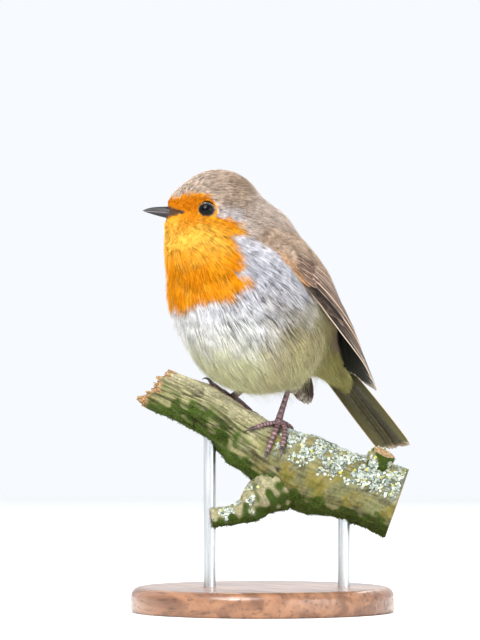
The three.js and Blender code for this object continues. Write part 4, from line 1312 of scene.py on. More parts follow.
def vane_finish(name, deep, light, fringe, fringe_from, quill=QUILL, below=UNDERSIDE_SHADE, margin=0.9, lines=0):
    made = Finish(name, Roughness=0.68, Specular_IOR_Level=0.15)
    span, web, tone, under = (made.value(v) for v in ("span", "web", "tone", "under"))
    aside = web.maths("ABSOLUTE")
    barbs = (span * 420 - aside * 46).maths("SINE")
    mottle = made.noise(900, 3)
    body = made.mix(mottle.ramp(0.3, 0.72), deep, light)
    edge = (web + (mottle - 0.5) * 0.14).ramp(fringe_from, fringe_from + 0.14)
    end = (span + (mottle - 0.5) * 0.06).ramp(0.955, 1.0)
    rim = edge.maths("MAXIMUM", end)
    body = made.tint(web.ramp(fringe_from - 0.4, fringe_from - 0.05, 1.0, 0.36), body)
    body = made.mix(rim * 0.9, body, fringe)
    body = made.mix(aside.ramp(0.03, 0.09, 0.8, 0.0), body, quill)
    # the lower side's colour, with painted shade darkest at the root
    underside_with_shade = made.mix(span.ramp(0.4, 0.95), *below)
    underside_colour = made.mix(end * 0.9, underside_with_shade, WORN_TIP)
    stripes = (web * 44).maths("SINE").ramp(0.75, 1.0)
    underside_colour = made.mix(stripes * web.ramp(-0.4, -0.28) * lines, underside_colour, STRIPE)
    outer = web.ramp(0.04, 0.2, 1.0, 1.0 - lines)
    body = made.mix(under * aside.ramp(margin, 1.0, 1.0, 0.0) * outer, body, underside_colour)
    made.put("Base Color", made.tint(tone.ramp(0, 1, 0.78, 1.2) + barbs * 0.05, body))
    made.bump(barbs, 0.35, 0.00012)
    return made


# Lit and shaded copies of the underside: painted shade on the near wing, painted light on the far one.
LIT_AND_SHADED_UNDERSIDES = {1: ("0d0f0e", "24261f"), -1: ("2b2627", "5d5448")}  # the far wing's underside catches more light
OUTER, PRIMARY = {}, {}
for side, name in SIDES:
    OUTER[side] = vane_finish("outer_vane_" + name, "211a17", "4a3c35", "d2bfae", 0.78, below=LIT_AND_SHADED_UNDERSIDES[side],
                              margin=0.83 + 0.07 * side, lines=0.8)
for side, name in SIDES:
    PRIMARY[side] = vane_finish("primary_vane_" + name, "1a1413", "2b211e", "c6aa95", 0.86, below=LIT_AND_SHADED_UNDERSIDES[side])
HAND = vane_finish("hand_vane", "15110f", "241c19", "a58b78", 0.9)
SECONDARY = vane_finish("secondary_vane", "332723", "5f4d44", "dcbfa8", 0.76)
TERTIAL = vane_finish("tertial_vane", "6c564b", "968072", "e0c6b0", 0.8)
COVERT = vane_finish("covert_vane", "523f38", "846b5d", "b89c85", 0.78)
EDGE_COVERT = vane_finish("edge_covert_vane", "6c4c36", "966e4c", "b98d60", 0.62)


# %% Vanes along the wing
def edge_at(s, a):
    """Millimetres across the wing at share a: -1 is the back edge, 1 the leading edge."""
    return np.where(np.asarray(a) > 0, a * np.maximum(lead_half(s), 0.5), a * np.maximum(back_half(s), 0.5))


WING_SINK = 1.2  # the stack of vanes lies this much lower behind the shoulder


def settled(s, lift):
    return lift - WING_SINK * smooth(s, 0.12, 0.35)


VANE_END = 0.985  # past this share the wing's surface is carried straight on


def wing_vane(side, start, end, lift, halves, full=0.3, point=0.8, rows=26, seed=0, heap=0.0,
              thick=VANE_THICK):
    """start and end are shares along and across; lift is at root and tip, heap is added between them."""
    (s0, a0), (s1, a1) = start, end

    def place(t, across, rise):
        s = s0 + (s1 - s0) * t
        a = a0 + (a1 - a0) * smooth(t, 0.0, 1.1)
        middle = edge_at(np.minimum(s, 0.9), a)
        p = wing_point(np.minimum(s, VANE_END), middle + across, settled(s, rise), side)
        past = np.maximum(s - VANE_END, 0)[..., None] / 0.02
        return p + past * (wing_point(VANE_END, 0, 0, side) - wing_point(0.965, 0, 0, side))

    t = np.linspace(0, 1, rows) ** 0.9
    rise_to = lambda t: lift[0] + (lift[1] - lift[0]) * t + heap * 4 * t * (1 - t)
    return vane(place, t, rise_to, halves[0], halves[1], full, point, seed, thick)


def row(side, count, starts, ends, lifts, halves, seed, uneven=0.0, **more):
    """A row of overlapping vanes; every pair gives the value of the first and of the last one."""
    made = []
    chance = np.random.default_rng(500 + seed)
    for i in range(count):
        pick = lambda pair: tuple(mixed(np.array(pair[0]), np.array(pair[1]), i / (count - 1)))
        until, a = pick(ends)
        end = (until + uneven * chance.normal(), a)
        made.append(wing_vane(side, pick(starts), end, pick(lifts), pick(halves), seed=seed + i, **more))
    return made


PRIMARY_TIPS = [(0.93, 1.3), (0.965, 1.2), (0.985, 1.0), (0.995, 0.74), (0.995, 0.46), (0.985, 0.18)]
PRIMARY_TIPS += [(0.97, -0.08), (0.96, -0.36), (0.95, -0.64), (0.93, -0.9)]


def primary(side, i):
    """One of the ten primaries, the outermost first; each lies on the one before."""
    start, lift = (0.3 + 0.01 * i, 0.84 - 0.1 * i), (-0.5 + 0.05 * i, -0.6 + 0.13 * i)
    halves = (7.2 - 0.25 * i, 1.6 if i == 0 else 1.0)
    return wing_vane(side, start, PRIMARY_TIPS[i], lift, halves, 0.15, 0.91, 34, i, heap=0.12 * i, thick=0.26)


def wing_groups(side):
    """Vanes of one wing by the finish they share."""
    secondaries = row(side, 9, [(0.2, 0.5), (0.22, -0.2)], [(0.8, 0.4), (0.7, -0.5)],
                      [(0.1, 0.45), (0.4, 0.8)], [(5.4, 1.2), (4.6, 1.5)], seed=20, heap=0.6, thick=0.24)
    tertials = row(side, 5, [(0.14, 0.2), (0.12, -0.6)], [(0.76, 0.12), (0.5, -0.78)],
                   [(0.3, 0.9), (0.6, 1.2)], [(3.4, 1.8), (3.0, 2.2)], seed=30, heap=0.8, point=0.78,
                   thick=0.24)
    greater = row(side, 9, [(0.08, 0.74), (0.1, -0.25)], [(0.37, 0.7), (0.33, -0.4)],
                  [(0.0, 1.15), (0.3, 1.7)], [(2.0, 1.3), (2.4, 1.7)], seed=40, point=0.7, rows=18,
                  uneven=0.025)
    hand = row(side, 5, [(0.24, 0.98), (0.28, 0.72)], [(0.5, 1.02), (0.58, 0.76)], [(0.1, 0.3), (0.5, 0.9)],
               [(1.4, 0.9), (1.6, 1.0)], seed=60, rows=18, thick=0.24)
    median = row(side, 8, [(0.04, 0.66), (0.05, -0.3)], [(0.2, 0.7), (0.2, -0.4)], [(-0.4, 0.8), (-0.2, 1.1)],
                 [(2.0, 1.5), (2.4, 2.0)], seed=70, point=0.62, rows=14, uneven=0.02)
    edge = row(side, 7, [(0.04, 0.8), (0.17, 0.96)], [(0.17, 1.0), (0.34, 0.98)], [(0.0, 0.9), (0.3, 0.95)],
               [(1.4, 1.0), (1.4, 0.9)], seed=80, point=0.6, rows=12)
    return {
        "outer_primaries": (OUTER[side], [primary(side, i) for i in range(2)]),
        "primaries": (PRIMARY[side], [primary(side, i) for i in range(2, len(PRIMARY_TIPS))]),
        "hand_coverts": (HAND, hand),
        "secondaries": (SECONDARY, secondaries),
        "tertials": (TERTIAL, tertials),
        "coverts": (COVERT, greater + median),
        "edge_coverts": (EDGE_COVERT, edge),
    }


for side, name in SIDES:
    stem = "wing_" + name
    for group, (finish, vanes) in wing_groups(side).items():
        points, faces, values = joined(vanes)
        piece = mesh_of(f"{stem}_{group}", points + CHEST, faces, finish, "flight_feathers", values)
        if group == "primaries":
            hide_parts(stem)

# %% [markdown]
# The shoulder and the back edge of the wing are hidden under soft small feathers, the lesser coverts and
# the scapulars. They are fans of blades as on the body, laid in the wing's measures.

# %% Soft feathers over the wing
WING_FEATHERS = 3900


def wing_down(side):
    chance = np.random.default_rng(95 + side)
    s, a = chance.uniform(0.0, 0.58, WING_FEATHERS), chance.uniform(-1.12, 1.1, WING_FEATHERS)
    back = smooth(-a, 0.15, 0.6)
    until = 0.14 + 0.3 * back + 0.14 * smooth(-a, 0.6, 1.0) + 0.035 * chance.normal(size=WING_FEATHERS)
    keep = s < until
    s, a, back = s[keep], a[keep], back[keep]
    long = (4.4 + 2.6 * back) * chance.uniform(0.8, 1.2, len(s))
    step = long / WING_LINE.lengths[-1]
    slip = chance.normal(0, 0.5, len(s))
    risen = smooth(s, 0.02, 0.18)
    height = 0.1 + (0.9 + 0.6 * back - 0.9 * smooth(-a, 0.7, 1.05)) * risen

    def at(k, lift):
        along, across = s + k * step, edge_at(np.clip(s, 0.06, 1), a) + slip * k
        return wing_point(along, across, settled(along, lift), side)

    root, mid = at(0, height * 0.2 - 0.5), at(0.55, height)
    tip = at(1, height + 0.2 + 0.25 * chance.random(len(s)))
    out = unit(at(0.55, height + 1) - mid)
    points, faces, owner, share = fans(root, mid, tip, out, 0.18 * long, np.full(len(s), 0.17), 9, chance)
    worn = smooth(s, -0.02, 0.08)[:, None]
    warm = np.stack([0.2 * smooth(a, 0.3, 0.9), 0 * a, 0 * a, 0 * a], 1)
    first, second = marks_of(tip)
    first, second = mixed(first, warm, worn), second * (1 - worn)
    tone = chance.normal(0.5, 0.2, len(s))[owner]
    tone = tone + each_blade(chance.normal(0, 0.42, len(points) // BLADE_POINTS))
    values = coat_values(first[owner], second[owner], tone, share)
    return points + CHEST, faces, values, patches(root, BODY_HEART, points, owner)


for side, name in SIDES:
    points, faces, values, bake = wing_down(side)
    mesh_of("coat_scapulars_" + name, points, faces, PLUMAGE, "plumage_crown", values, bake)

# %% [markdown]
# Under the vanes lies the folded arm, a flat feathered core that fills the wing's depth, so that no light
# shows between the rows.

# %% The arm under the vanes
turn = round_turn(28)
c = np.cos(turn)
for side, name in SIDES:
    rings = []
    for s in np.linspace(0.05, 0.62, 20):
        half = np.where(c > 0, np.maximum(lead_half(s) - 1.2, 0.5), np.maximum(back_half(s) - 1.2, 0.5))
        thick = mixed(1.5, 0.25, smooth(s, 0.36, 0.58))
        rings.append(wing_point(s, c * half, settled(s, np.sin(turn) * thick - thick * 0.75), side))
    points, faces = loft(rings)
    none = np.zeros((len(points), 4))
    # a low lie and tone paint the core dark, as painted shade in the gaps between the rows
    values = coat_values(none, none, 0.4, 0.3)
    mesh_of("arm_" + name, points + CHEST, faces, PLUMAGE, "plumage_crown", values)

# %% [markdown]
# ## Tail
# Twelve rectrices lie folded in a stack: the middle pair on top, each outer one lower and further out.
# From below, the two outermost hide most of the others. They use the same vane, laid along the tail.

# %% Tail
TAIL_TIP = np.array([0, 65.6, -52.4])
TAIL_LENGTH, TAIL_ROLL = 60.0, math.radians(-14)
LEFT = np.array([1.0, 0, 0])
TAIL_ACROSS = LEFT * math.cos(TAIL_ROLL) + np.cross(TAIL_ALONG, LEFT) * math.sin(TAIL_ROLL)
TAIL_UP = np.cross(TAIL_ACROSS, TAIL_ALONG)
RECTRIX = vane_finish("tail_vane", "3f3b2c", "57523d", "a88a5c", 0.64, "2c2720", ("38361f", "5d5a38"), 0.3)
FOLD = {(1, 5): 1.3, (1, 4): -0.6, (1, 3): 0.1, (-1, 5): 0.7}  # tones of feathers in the light or in shade


def rectrix(side, i):
    """The i-th tail feather from the middle, on the side given by a sign."""
    seat = side * (0.7 + 1.25 * i)
    long = TAIL_LENGTH - (1.4 if i == 0 else 0.3 * i)

    def place(t, across, rise):
        along = t * long - TAIL_LENGTH
        spread = seat * mixed(0.84, 1, smooth(t, 0, 0.8))
        x = spread + across * side
        lift = 0.75 - 0.26 * i + rise - 0.012 * x**2 + 1.6 * t * (1 - t)
        along, x, lift = along[..., None], x[..., None], lift[..., None]
        return TAIL_TIP + along * TAIL_ALONG + x * TAIL_ACROSS + lift * TAIL_UP

    t = np.linspace(0, 1, 34) ** 0.92
    inner, outer = 4.6 - 0.15 * i, 1.7 - 0.1 * i
    seed, shade = 100 + 10 * i + side, FOLD.get((side, i))
    return vane(place, t, np.zeros_like, inner, outer, 0.2, 0.9, seed, shade=shade)


points, faces, values = joined([rectrix(side, i) for i in range(6) for side, _ in SIDES])
tail = mesh_of("tail_feathers", points + CHEST, faces, RECTRIX, "flight_feathers", values)
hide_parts("tail")

# %% [markdown]
# ## Legs, toes and claws
# A robin's leg is a thin purple-brown shank, smooth at the back and covered in front by large plates that
# overlap like roof tiles. The toes have a plate over every joint and soft pads below. The claws are
# curved horn. Shank and toes are round lofts along their curves; the plates are strewn on them.

# %% Legs
TARSUS_LENGTH, TOE_RADIUS, CLAW_LENGTH, PIECE_GAP = 25.0, 1.05, 4.6, 0.3
LEG_TOES = ("hallux", "inner", "middle", "outer")
PLATES_PER_TOE = 9
SHANK = Finish("leg_skin", Roughness=0.5, Specular_IOR_Level=0.4)
pores = SHANK.noise(1500, 4)
SHANK.put("Base Color", SHANK.mix(pores.ramp(0.3, 0.7), "3b2628", "664748"))
SHANK.bump(pores, 0.35, 0.00012)
PLATE = Finish("leg_plate", Roughness=0.36, Specular_IOR_Level=0.5)
plate_cloud = PLATE.noise(900, 3)
plate_colour = PLATE.mix(plate_cloud.ramp(0.3, 0.7), "4d363a", "735559")
plate_colour = PLATE.mix(PLATE.value("rim").ramp(0.3, 0.9, 0, 0.6), plate_colour, "9a8087")
PLATE.put("Base Color", PLATE.tint(PLATE.value("tone").ramp(0, 1, 0.8, 1.2), plate_colour))
CLAW = Finish("claw_horn", Roughness=0.3, Specular_IOR_Level=0.55)
claw_cloud = CLAW.noise(1200, 3)
claw_colour = CLAW.mix(claw_cloud.ramp(0.3, 0.7), "2b2023", "4d3b3f")
CLAW.put("Base Color", CLAW.mix(CLAW.value("span").ramp(0.5, 1.0, 0, 0.6), claw_colour, "18120f"))


PLATE_REACH, PLATE_OVERLAP = 1.25, 0.75  # how far a plate reaches round the leg, and down over the next


def plate_shape():
    """Half a collar, one radius wide: z is out of the leg, x up it; its lower rim stands clear."""
    turn, low = np.linspace(-PLATE_REACH, PLATE_REACH, 9), -PLATE_OVERLAP
    rings = []
    for x, r in ((low, 1.0), (low * 0.9, 1.07), (0.1, 1.03), (0.55, 0.97), (0.5, 0.9), (low * 0.8, 0.94)):
        rings.append(np.stack([x + 0.12 * np.cos(turn * 1.2), r * np.sin(turn), r * np.cos(turn)], 1))
    points, faces = loft(np.stack(rings, 1))
    return points, faces, {"rim": over_rings([1.0, 1.0, 0.2, 0.0, 0.0, 0.6], (9, 6), (0.3, 0.3))}


def toe_curve(foot, toe):
    """From the foot's joint over a toe's stations on the bark."""
    stations = enumerate(foot["toes"][toe])
    on_bark = [branch_point(*at, PIECE_GAP + TOE_RADIUS * (1 - 0.1 * i)) for i, at in stations]
    return Curve([foot["joint"]] + on_bark)


def square_to(v, way):
    """v turned until it is square to way."""
    return unit(v - way * (v @ way))


legs, claws, plates = [], [], []  # a plate is where it sits, its ways out and up, and the leg's radius there
for foot in FEET.values():
    joint, ankle = np.array(foot["joint"]), np.array(foot["ankle"], float)
    up = unit(ankle - joint)
    front = square_to(np.array(foot["front"]), up)
    t = np.linspace(0, 1, 60)
    shank_radius = 0.92 + 0.5 * (1 - t) ** 5 + 0.45 * t**5
    path = joint + up * (t * (TARSUS_LENGTH + 0.6) - 0.6)[:, None]
    points, faces = loft(round_rings(path, shank_radius, 20))
    legs.append((to_row(points), faces, {}))
    for k in np.arange(0.09, 0.93, 0.083):
        plates.append((joint + up * (k * TARSUS_LENGTH), front, up, np.interp(k, t, shank_radius)))
    for toe in LEG_TOES:
        stations = np.array(foot["toes"][toe])
        curve = toe_curve(foot, toe)
        u = np.linspace(0, 1, 50)
        radius = 0.88 * TOE_RADIUS * mixed(1, 0.72, u) * (1 + 0.16 * np.sin(3 * math.pi * u) ** 2)
        path = curve.at(curve.even(u))
        points, faces = loft(round_rings(path, radius, 16))
        legs.append((to_row(points), faces, {}))
        for k in np.linspace(0.12, 0.95, PLATES_PER_TOE):
            way = -curve.tangent(curve.even(k))
            s, angle = (np.array(np.interp(k, [0.25, 0.5, 1], stations[:, i])) for i in (0, 1))
            out = square_to(branch_frame(s, angle)[2], way)
            plates.append((curve.at(curve.even(k)), out, way, np.interp(k, u, radius)))
        tip_out = branch_point(*stations[-1], 1) - branch_point(*stations[-1], 0)
        along = curve.tangent(np.array(1.0))
        root = path[-1] - along * 0.35
        hook = [(0, 0), (0.45, 0.62), (0.82, 0.2), (1, -0.75)]
        curve = Curve([root + along * share * CLAW_LENGTH + tip_out * off for share, off in hook])
        v = np.linspace(0, 1, 26)
        rings = round_rings(curve.at(curve.even(v)), mixed(0.74, 0.1, v**1.2), 14)
        points, faces = loft(rings)
        claws.append((to_row(points), faces, {"span": over_rings(v[:, None], (26, 14), (0, 1))}))

points, faces, _ = joined(legs)
leg_piece = mesh_of("leg_skin", points, faces, SHANK, "leg_scale")
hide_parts(*(f"tarsus_{s}" for s in FEET), *(f"toe_{s}_{t}" for s in FEET for t in LEG_TOES))
points, faces, values = joined(claws)
claw_piece = mesh_of("claws", points, faces, CLAW, "claw", values)
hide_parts(*(f"claw_{s}_{t}" for s in FEET for t in LEG_TOES))
at, out, way, size = (np.array(v) for v in zip(*plates))
tones = np.random.default_rng(8).normal(0.5, 0.2, len(at))
strew("leg_plates", to_row(at), to_row(out), to_row(way), size, plate_shape(), PLATE, "leg_scale",
      {"tone": tones})

# %% [markdown]
# ## Bark
# The perch is an old, weathered branch. Its bark has long shallow furrows, a collar with a hollow under it
# where the thin upper length grows out of the stout one, and a torn end with crumbling orange wood. A loft
# with several hundred rings is fine enough to carry the furrows as real relief. Each point also carries
# how mossy, bleached, rusty or lichened it is, and the finish and the lichen lobes both follow that.

# %% Bark relief and its growth
BARK_LONG, BARK_ROUND = 105, 10.5  # the branch's length and usual radius, for noise laid along it


def unrolled(s, angle, squeeze):
    """Places for noise drawn out along the branch, so that its waves become long fibres."""
    spots = [s * BARK_LONG, BARK_ROUND * np.cos(angle), BARK_ROUND * np.sin(angle)]
    return np.stack(spots, 1) * [squeeze, 1, 1]


def bark_relief(s, angle, p):
    grain = unrolled(s, angle, 0.16)
    furrows, fibres = ripple(grain, 3.6, 31), ripple(grain, 1.3, 32)
    cracks = -bell((ripple(grain, 5.0, 33), 0, 0.06)) * smooth(ripple(p, 14, 34), -0.2, 0.5)
    rough = ripple(p, 2.6, 35)
    stout = smooth(s, 0.36, 0.52)
    collar = 1.3 * smooth(s, 0.335, 0.36) * (1 - smooth(s, 0.36, 0.5)) * bell((angle, 2.2, 0.8))
    hollow = -2.4 * bell((s, 0.315, 0.03), (angle, 2.15, 0.4))
    flake_line = bell((angle - 0.12, 0.25 * np.sin(14 * s), 0.06))
    flake = 0.7 * flake_line * smooth(s, 0.12, 0.2) * (1 - smooth(s, 0.42, 0.48))
    relief = mixed(0.4, 0.2, stout) * furrows + mixed(0.16, 0.07, stout) * fibres
    relief = relief + 0.5 * cracks * (1 - 0.6 * stout)
    # sunk: how deep a point lies in a crack or furrow, which the finish paints as shade
    sunk = -cracks + smooth(-furrows - 0.35 * fibres, 0.5, 1.6) * mixed(0.8, 0.4, stout)
    return relief + 0.3 * stout * rough + collar + hollow + flake, np.clip(sunk, 0, 1)


def threads_of(s, angle):
    """Long fine fibres of the weathered wood, lighter and darker by turns."""
    grain = unrolled(s, angle, 0.08)
    threads = 0.6 * ripple(grain, 1.2, 51) + 0.4 * ripple(grain, 2.4, 52)
    return threads * mixed(1, 0.3, smooth(s, 0.36, 0.52))


def growth_of(s, angle, p):
    """Masks over the bark: moss, bleached, rusty, lichened."""
    patch = ripple(p, 13, 41) * 0.5 + ripple(p, 5, 42) * 0.35
    low = smooth(angle + 0.4 * patch, 1.9, 2.5) + smooth(-angle + 0.4 * patch, 2.0, 2.6)
    left_band = bell((angle, 1.85, 0.55)) * (1 - smooth(s, 0.3, 0.42))
    stout = smooth(s, 0.3, 0.45)
    moss = np.clip(low * mixed(0.8, 1.0, stout) + left_band * smooth(patch, -0.6, 0.2), 0, 1)
    green_film = 0.34 * smooth(np.abs(angle) + 0.5 * patch, 0.7, 1.5)
    moss = np.maximum(moss, green_film)
    bleached = bell((angle, 0.1, 0.75)) * (1 - smooth(s, 0.5, 0.62)) + 0.5 * smooth(patch, 0.2, 0.7)
    rusty = smooth(s, 0.4, 0.5) * smooth(ripple(p, 11, 43), -0.35, 0.35) * bell((angle, 1.6, 0.75))
    over = smooth(s, 0.44, 0.52) * np.exp(-(((np.abs(angle) - 0.55) / 0.95) ** 4))
    lichen = np.clip(over * smooth(ripple(p, 9, 44) + 0.35 * ripple(p, 4, 45) + 0.75, -0.1, 0.35), 0, 1)
    return np.stack([moss * (1 - lichen), np.clip(bleached, 0, 1), rusty, lichen], 1)


# %% The bark finish
BARK = Finish("bark", Roughness=0.9, Specular_IOR_Level=0.2)
moss, bleached, rusty, lichened = BARK.split("growth")
raw = BARK.value("raw")
coarse, fine, threads = BARK.noise(240, 5), BARK.noise(1100, 4), BARK.value("threads")
bark_colour = BARK.mix((coarse * 0.6 + threads * 0.35).ramp(0.1, 0.55), "4a472e", "98926a")
bark_colour = BARK.mix(bleached * 0.7, bark_colour, "b6af90")
bark_colour = BARK.mix(rusty * coarse.ramp(0.35, 0.6), bark_colour, "897636")
grown = (moss + (coarse - 0.5) * 1.1 + (fine - 0.5) * 0.5).ramp(0.05, 0.8)
bark_colour = BARK.mix(grown * fine.ramp(0.25, 0.6, 0.7, 1.0), bark_colour, "2c4006")
bark_colour = BARK.mix(lichened * 0.8, bark_colour, "545c4e")
# painted shade in the cracks and the furrows' lows
bark_colour = BARK.mix(BARK.value("crack") * 0.85, bark_colour, "1e1a10")
bark_colour = BARK.mix(raw, bark_colour, BARK.mix(fine.ramp(0.2, 0.8), "6c5034", "b08e66"))
BARK.put("Base Color", BARK.tint(fine.ramp(0.25, 0.75, 0.62, 1.3), bark_colour))
BARK.bump(coarse * 0.5 + fine, 0.7, 0.0004)


# %% The branch
def branch_surface(s, angle):
    """Points on the finished bark, ways out of it, how sunk it lies in cracks and furrows, for their painted
    shade, and growth.
    """
    p, out = branch_point(s, angle), branch_frame(s, angle)[2]
    relief, sunk = bark_relief(s.ravel(), angle.ravel(), p.reshape(-1, 3))
    p = p + out * relief.reshape(s.shape)[..., None]
    return p, out, sunk, growth_of(s.ravel(), angle.ravel(), p.reshape(-1, 3))


def shrunk(ring, share):
    """A ring drawn in towards its middle."""
    middle = ring.mean(0)
    return middle + (ring - middle) * share


around = np.linspace(-math.pi, math.pi, 170, endpoint=False)
s, angle = np.meshgrid(np.linspace(0, 1, 320), around, indexing="ij")
points, _, sunk, growth = branch_surface(s, angle)
along = branch_frame(s, angle)[1]
splinter = 1.1 * ripple(points[0], 2.2, 36) + 0.6 * ripple(points[0], 1.0, 37)
broken = 2.6 * np.cos(around) + 1.2 * np.sin(5 * around) - 2 + splinter
fade = (1 - smooth(s, 0, 0.06))[..., None]
points = points + along * fade * broken[None, :, None]
raw_bark = (1 - smooth(s, 0.004, 0.018)) * 0.9

torn = []
for share in (0.18, 0.34, 0.5, 0.66, 0.82, 0.93):
    ring = shrunk(points[0], share)
    rough = 0.9 * ripple(ring, 1.8, 38) + 0.8 * ripple(ring, 4, 39) - 2.2 * (1 - share)
    torn.append(ring - along[0] * rough[:, None])
sawn = [shrunk(points[-1], share) for share in (0.97, 0.75, 0.5, 0.25)]
points, faces = loft(np.concatenate([torn, points, sawn]))


def with_ends(v, at_torn=0.0, at_sawn=0.0):
    """The bark's values, with one more value for each of the two cut faces."""
    body = np.asarray(v, float).reshape(s.shape + v.shape[1:])
    first = np.full((len(torn),) + body.shape[1:], at_torn)
    last = np.full((len(sawn),) + body.shape[1:], at_sawn)
    flat = np.concatenate([first, body, last]).reshape((-1,) + v.shape[1:])
    return np.concatenate([flat, flat[:1], flat[-1:]])


values = {"growth": with_ends(growth), "crack": with_ends(sunk), "raw": with_ends(raw_bark.ravel(), 1, 0.85)}
values["threads"] = with_ends(threads_of(s.ravel(), angle.ravel()))
branch = mesh_of("branch", to_row(points), faces, BARK, "bark", values)
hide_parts("perch")

# %% Its two cut twigs, as (stations, radius at the root, radius at the end, share where it is reached)
TWIGS = [
    ([(10, 3, 49), (0, 1, 41), (-7, 0, 35.5), (-18, 0, 33.5)], 10.0, 3.4, 0.85),
    ([(37, 1, 44), (40, -1, 50), (43.5, -3, 57)], 6.6, 4.3, 0.7),
]
TWIG_ROWS, TWIG_SIDES, TWIG_CUT = 150, 90, (0.92, 0.6, 0.3)
twigs, twig_bark = [], []
for stations, thick, thin, until in TWIGS:
    curve = Curve(stations)
    u = np.linspace(0, 1, TWIG_ROWS)
    path = curve.at(curve.even(u))
    radii = mixed(thick, thin, smooth(u, 0, until))[:, None]
    rings = np.array(round_rings(path, np.ones(TWIG_ROWS), TWIG_SIDES))
    out = rings - path[:, None]
    ways = out.reshape(-1, 3)
    bump = 0.35 * ripple(rings.reshape(-1, 3) * 3, 9, 46)
    bump = bump + 0.45 * ripple(np.repeat(path, TWIG_SIDES, 0) + ways * 4, 6, 47)
    bump = bump.reshape(TWIG_ROWS, TWIG_SIDES)
    rings = path[:, None] + out * (radii * (1 + 0.09 * bump) + 0.25 * bump)[..., None]
    cut = [path[-1] + (rings[-1] - path[-1]) * share for share in TWIG_CUT]
    points, faces = loft(np.concatenate([rings, cut]))
    flat = rings.reshape(-1, 3)
    under = smooth(-ways[:, 2] + 0.6 * ripple(flat, 5, 48), -0.4, 0.5)
    lichen = (1 - under) * smooth(ripple(flat, 6, 49), -0.1, 0.3)
    lichen = lichen * np.repeat(smooth(u, 0.2, 0.5), TWIG_SIDES)
    masks = np.stack([under * 0.9, 0.4 * (1 - under), 0 * under, lichen], 1)
    twig_bark.append((flat, ways, masks))
    none, raw_end = np.zeros(len(points)), np.arange(len(points)) >= len(flat)
    raw_end[-2] = False  # the root's end point lies inside the branch
    growth = np.vstack([masks, np.zeros((len(points) - len(flat), 4))])
    values = {"growth": growth, "crack": none, "raw": raw_end * 0.8, "threads": none}
    twigs.append((to_row(points), faces, values))
points, faces, values = joined(twigs)
mesh_of("twig_stubs", points, faces, BARK, "bark", values)

# %% [markdown]
# ## Lichen and moss
# Grey-green shield lichen grows as crowds of small curled lobes, thickest on the lit upper side of the
# stout length. Moss is a felt of short shoots on the damp underside. Both are strewn by the tree above: a
# lobe is a wavy little dish, a shoot a bent three-sided spike.

# %% Lobes and shoots
def lobe_shape():
    """A wavy dish with a turned-up rim."""
    turn = round_turn(7)
    wobble = 1 + 0.24 * np.sin(3 * turn + 0.6)
    rings = []
    for r, z in ((0.4, -0.15), (1.0, 0.38), (0.6, 0.3)):
        wavy = z + 0.12 * r * np.sin(4 * turn)
        rings.append(np.stack([r * wobble * np.cos(turn), 0.85 * r * wobble * np.sin(turn), wavy], 1))
    points, faces = loft(rings)
    return points, faces, {"rim": over_rings([[0.0], [1.0], [0.4]], (3, 7))}


def shoot_shape():
    """A bent three-sided spike."""
    turn = round_turn(3)
    rings = []
    for z, r, lean in ((0, 0.22, 0), (0.7, 0.17, 0.2), (1.2, 0.02, 0.7)):
        rings.append(np.stack([r * np.cos(turn) + lean, r * np.sin(turn), np.full(3, z)], 1))
    points, faces = loft(rings)
    return points, faces, {"rim": over_rings([[0.0], [0.6], [1.0]], (3, 3), (0, 1))}


LICHEN = Finish("lichen", Roughness=0.85, Specular_IOR_Level=0.2)
rim, tone = LICHEN.value("rim"), LICHEN.value("tone")
lichen_cloud = LICHEN.noise(900, 3)
lichen_colour = LICHEN.mix(tone.ramp(0, 1), "53635a", "c6cdc2")
lichen_colour = LICHEN.mix(rim.ramp(0.2, 1, 0, 0.45), lichen_colour, "dfe4dd")
lichen_colour = LICHEN.mix(tone.ramp(0.9, 0.96), lichen_colour, "b3ac4a")
LICHEN.put("Base Color", LICHEN.tint(lichen_cloud.ramp(0.3, 0.7, 0.75, 1.1), lichen_colour))
MOSS = Finish("moss", Roughness=0.8, Specular_IOR_Level=0.2)
moss_colour = MOSS.mix(MOSS.value("tone").ramp(0.1, 0.9), "16220a", "4a5c10")
MOSS.put("Base Color", MOSS.mix(MOSS.value("rim").ramp(0.3, 1, 0, 0.4), moss_colour, "6f7a22"))
MOSSY, LICHENED = 0, 3  # places in the growth masks


def strewn(mask, count, chance, least):
    """Places over branch and twigs where a growth mask is strong, the ways out there, and any way along."""
    s, angle = chance.uniform(0.01, 0.99, count), chance.uniform(-math.pi, math.pi, count)
    p, out, _, masks = branch_surface(s, angle)
    ats, outs, strength = [p], [out], [masks[:, mask]]
    for flat, ways, twig_masks in twig_bark:
        picks = chance.integers(len(flat) // 6, len(flat), count // 8)
        ats.append(flat[picks])
        outs.append(ways[picks])
        strength.append(twig_masks[picks, mask])
    at, out, strength = (np.concatenate(v) for v in (ats, outs, strength))
    keep = strength > least + 0.5 * chance.random(len(at))
    at, out = at[keep], unit(out[keep])
    return at, out, unit(np.cross(out, chance.normal(size=out.shape)))


def off_feet(at, gap):
    """True away from the toes, so that they stand on bark."""
    free = np.ones(len(at), bool)
    for foot in FEET.values():
        for toe in LEG_TOES:
            curve = toe_curve(foot, toe)
            path = curve.at(curve.even(np.linspace(0, 1, 24)))
            free &= np.linalg.norm(at[:, None] - path, axis=2).min(1) > gap
    return free


def sow(name, mask, count, seed, gap, lean_by, sizes, shape, finish, least=0.35, sunk=0.0):
    """Strews a small form over the bark where a growth mask is strong, off the feet by the gap."""
    chance = np.random.default_rng(seed)
    at, out, way = strewn(mask, count, chance, least)
    free = off_feet(at, gap)
    at, out, way = at[free], out[free], way[free]
    lean = unit(out + lean_by * chance.normal(size=out.shape))
    size, values = chance.uniform(*sizes, len(at)), {"tone": chance.random(len(at))}
    strew(name, to_row(at - sunk * out), to_row(lean), to_row(way), size, shape, finish, "bark", values)


